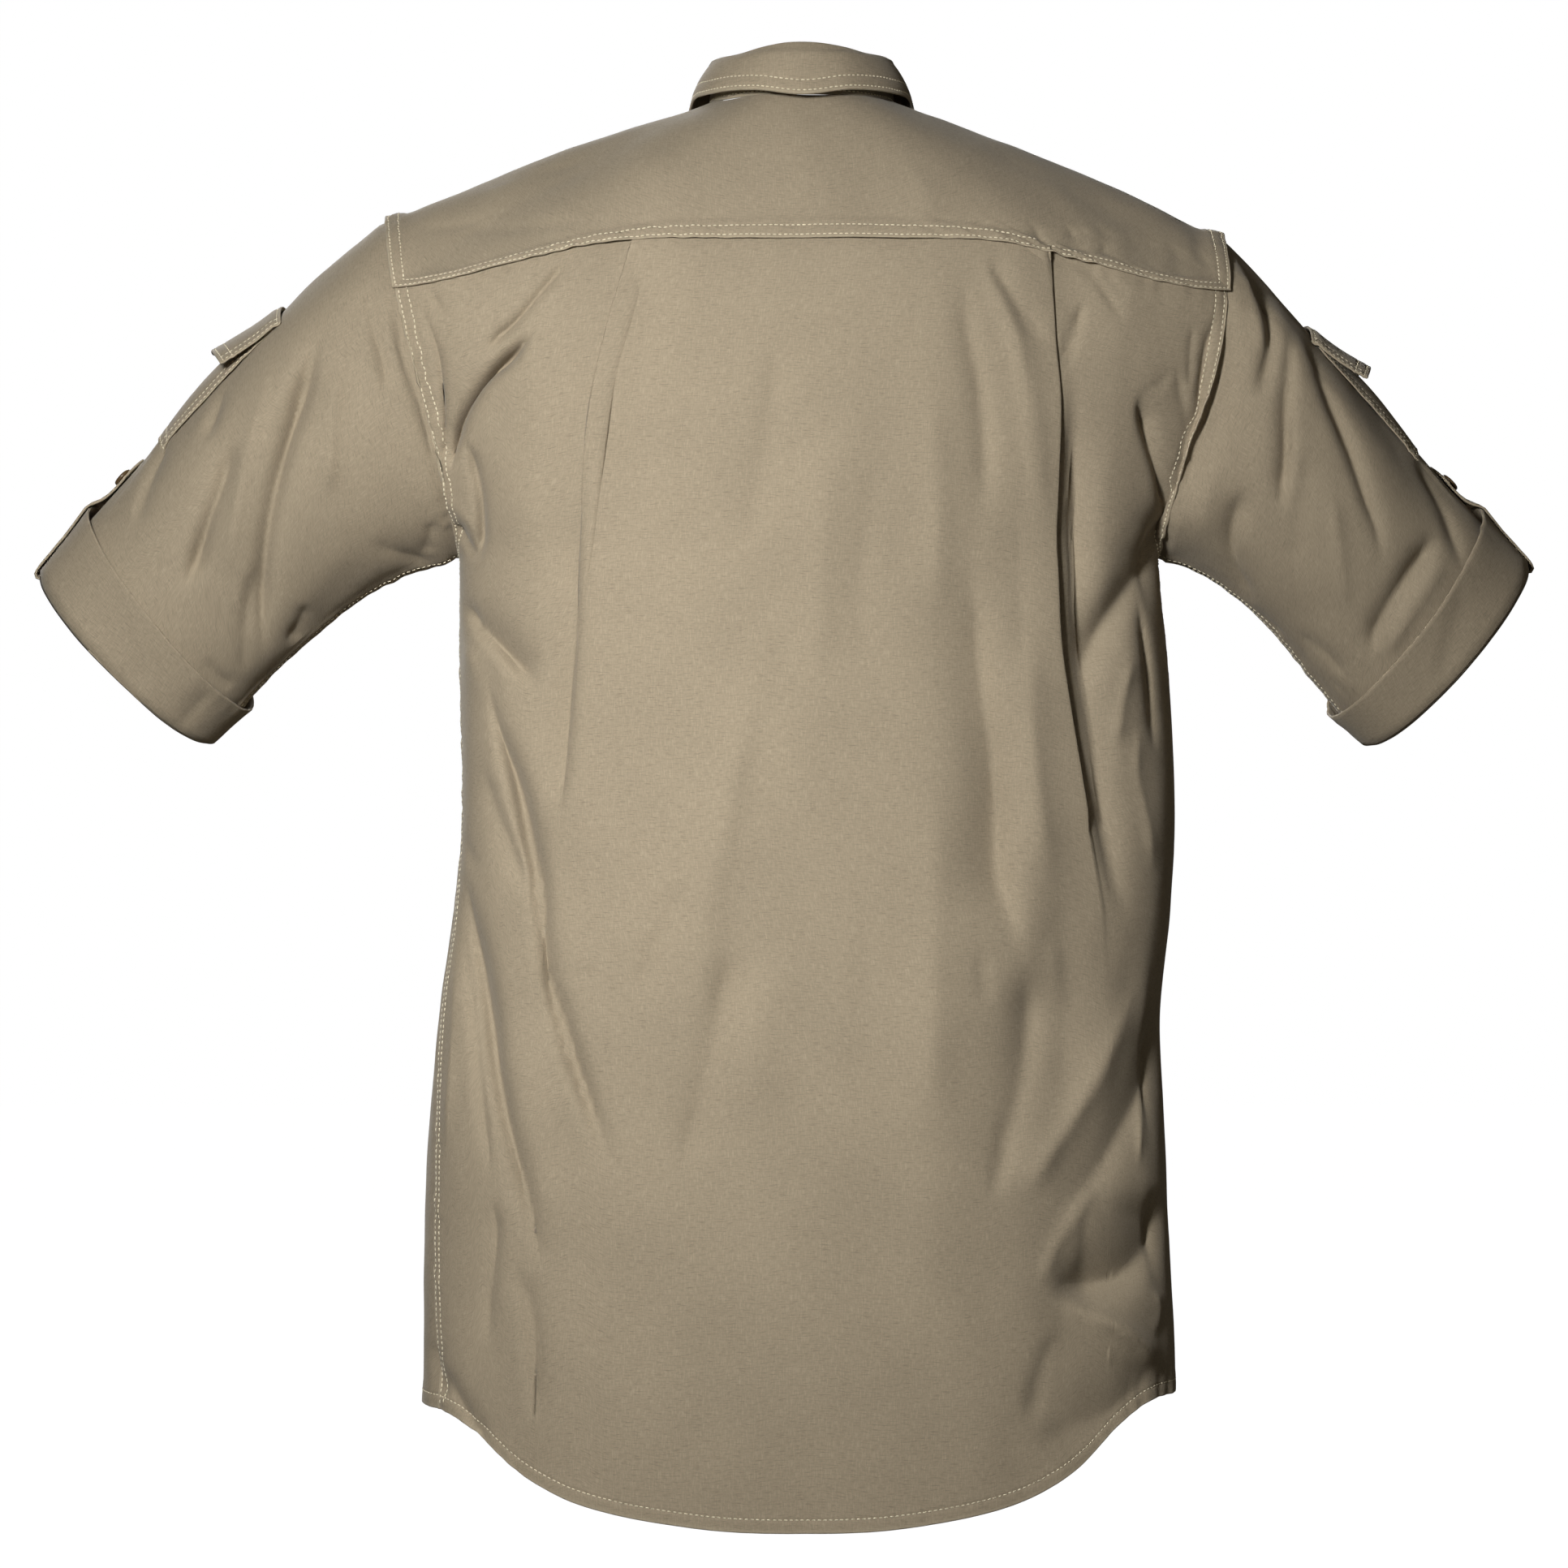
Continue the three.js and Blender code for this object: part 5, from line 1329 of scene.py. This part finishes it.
def button(name, node, seat, up, seed):
    rings, sides = 22, 48
    radius = np.linspace(0, 1, rings)[1:] ** 0.8 * BUTTON_RADIUS
    turn = np.arange(sides) * 2 * math.pi / sides
    r, t = np.meshgrid(radius, turn, indexing="ij")
    x, y = r * np.cos(t), r * np.sin(t)
    share = r / BUTTON_RADIUS
    rim = 0.55 * smooth((share - 0.55) / 0.2) * (1 - smooth((share - 0.9) / 0.1) * 0.9)
    z = BUTTON_FACE + rim
    for hx in (-HOLE_OUT, HOLE_OUT):
        for hy in (-HOLE_OUT, HOLE_OUT):
            gap = np.hypot(x - hx, y - hy)
            z = z - 1.5 * (1 - smooth((gap - 0.45) / 0.35))
    top = xyz(x, y, z).reshape(-1, 3)
    skirt = [(1.0, 0.62), (1.02, 0.45), (0.98, 0.25), (0.86, 0.12)]
    circle = BUTTON_RADIUS * np.stack([np.cos(turn), np.sin(turn)])
    low = [xyz(*(wide * circle), BUTTON_THICK * high) for wide, high in skirt]
    points = np.vstack([[[0, 0, BUTTON_FACE]], top, *low, [[0, 0, BUTTON_THICK * 0.1]]])
    total = rings - 1 + len(skirt)
    index = 1 + np.arange(total * sides).reshape(total, sides)
    after = np.roll(index, -1, 1)
    faces = [(0, int(a), int(b)) for a, b in zip(index[0], after[0])]
    for i in range(total - 1):
        faces += [tuple(map(int, q)) for q in zip(index[i], index[i + 1], after[i + 1], after[i])]
    faces += [(len(points) - 1, int(b), int(a)) for a, b in zip(index[-1], after[-1])]
    up = unit(np.asarray(up, float))
    side = unit(np.cross([0.1, 0.2, 1.0], up))
    ahead = np.cross(up, side)
    seat = np.asarray(seat, float)
    placed = seat + points[:, :1] * side + points[:, 1:2] * ahead + points[:, 2:] * up
    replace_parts(mesh_object(name, placed, faces, horn), node)
    thread = Thread(seed)
    for hy in (-HOLE_OUT, HOLE_OUT):
        for shift in (-0.22, 0.22):
            middle = seat + up * (BUTTON_FACE + 0.25) + ahead * (hy + shift)
            line = np.array([middle - side * 1.75, middle, middle + side * 1.75])
            thread.row(line, np.array([up] * 3), 0.0, 0.0, 3.4, 3.2, 0.26)
    threads[name] = thread


def front_row(z):
    low, high = 0.0, 2.0
    for _ in range(30):
        middle = (low + high) / 2
        above = front_form(1, np.array([1.0]), np.array([middle]))[0, 2] > z
        low, high = (middle, high) if above else (low, middle)
    return np.array([low])


for i in range(BUTTON_ROWS):
    at = front_row(BUTTON_TOP_Z - BUTTON_STEP * i)
    seat = edge_line(1, at, 0, LIFT + 0.85)[0]
    up = edge_line(1, at, 0, LIFT + 2)[0] - seat
    button(f"button_front_{i + 1}", f"front_button_{i + 1}", seat, up, 200 + i)
at = np.array([180.0])
share = np.array([0.55])
seat = stand_point(at, share)[0]
around = (stand_point(at + 4, share) - stand_point(at - 4, share))[0]
rise = (stand_point(at, share + 0.4) - stand_point(at, share - 0.4))[0]
up = unit(np.cross(rise, around))
button("button_collar", "collar_button", seat + up * 1.0, up, 210)
for side, word in ((1, "left"), (-1, "right")):
    k, along = np.array([TAB["middle"]]), np.array([TAB["button"]])
    low, high = (on_sleeve(side, k, along, np.array([off]))[0] for off in (TAB_PATH["off"][-1] + 0.85, 4.0))
    button("button_tab_" + word, "tab_button_" + word, low, high - low, 220 + side)

stitches = {name: thread.make("stitches_" + name) for name, thread in threads.items() if thread.total}

# Camera at the photograph's place
camera = bpy.data.objects.new("camera", bpy.data.cameras.new("camera"))
bpy.context.scene.collection.objects.link(camera)
camera.location = (AIM[0] * MM, DISTANCE * MM, AIM[1] * MM)
camera.rotation_euler = (math.pi / 2, 0, math.pi)
camera.data.sensor_width = 36
camera.data.lens = 36 * DISTANCE / (PHOTO * SCALE)
camera.data.clip_end = 50
bpy.context.scene.camera = camera


# Light, floor and backdrop


def area_light(name, place, aim, size, power, colour, spread=180):
    light = bpy.data.objects.new(name, bpy.data.lights.new(name, "AREA"))
    light.data.shape = "RECTANGLE"
    light.data.size, light.data.size_y = size
    light.data.energy = power
    light.data.color = colour
    light.data.spread = spread * RAD
    light.location = place
    way = Vector(aim) - Vector(place)
    light.rotation_euler = way.to_track_quat("-Z", "Y").to_euler()
    bpy.context.scene.collection.objects.link(light)


bpy.context.scene.view_settings.view_transform = "Standard"
area_light("key", (0.46, 1.52, 0.12), (0.06, 0, -0.4), (0.2, 0.24), 5.4, (1.0, 0.995, 0.965), 76)
area_light("fill", (-1.2, 2.6, 0.4), (0, 0, -0.38), (1.6, 1.6), 1.2, (1.0, 0.93, 0.8))
area_light("front", (0.8, -2.6, 0.9), (0, 0, -0.38), (1.2, 1.2), 55, (1.0, 1.0, 1.0))
world = bpy.data.worlds.new("world")
world.use_nodes = True
fill(world.node_tree.nodes["Background"], {"Color": (1, 0.9, 0.72, 1), "Strength": 0.06})
bpy.context.scene.world = world


def stage_plane(name, corners):
    material, shader, node = new_material(name, 1.0)
    white = {"Base Color": (0, 0, 0, 1), "Emission Color": (1, 1, 1, 1), "Emission Strength": 1.0}
    fill(shader, white)
    obj = mesh_object(name, np.array(corners, float), [(0, 1, 2, 3)], material, body=None)
    obj.visible_diffuse = obj.visible_glossy = obj.visible_shadow = False
    obj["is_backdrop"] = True


FLOOR_Z = -860
FAR = 6000
stage_plane("floor", [(-FAR, -FAR, FLOOR_Z), (FAR, -FAR, FLOOR_Z), (FAR, FAR, FLOOR_Z), (-FAR, FAR, FLOOR_Z)])
for i, (x, y) in enumerate([(0, -FAR), (FAR, 0), (0, FAR), (-FAR, 0)]):
    dx, dy = (FAR, 0) if x == 0 else (0, FAR)
    ends = [(x - dx, y - dy), (x + dx, y + dy)]
    stage_plane(f"backdrop_{i}", [(*ends[0], FLOOR_Z), (*ends[1], FLOOR_Z), (*ends[1], FAR), (*ends[0], FAR)])

low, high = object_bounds()
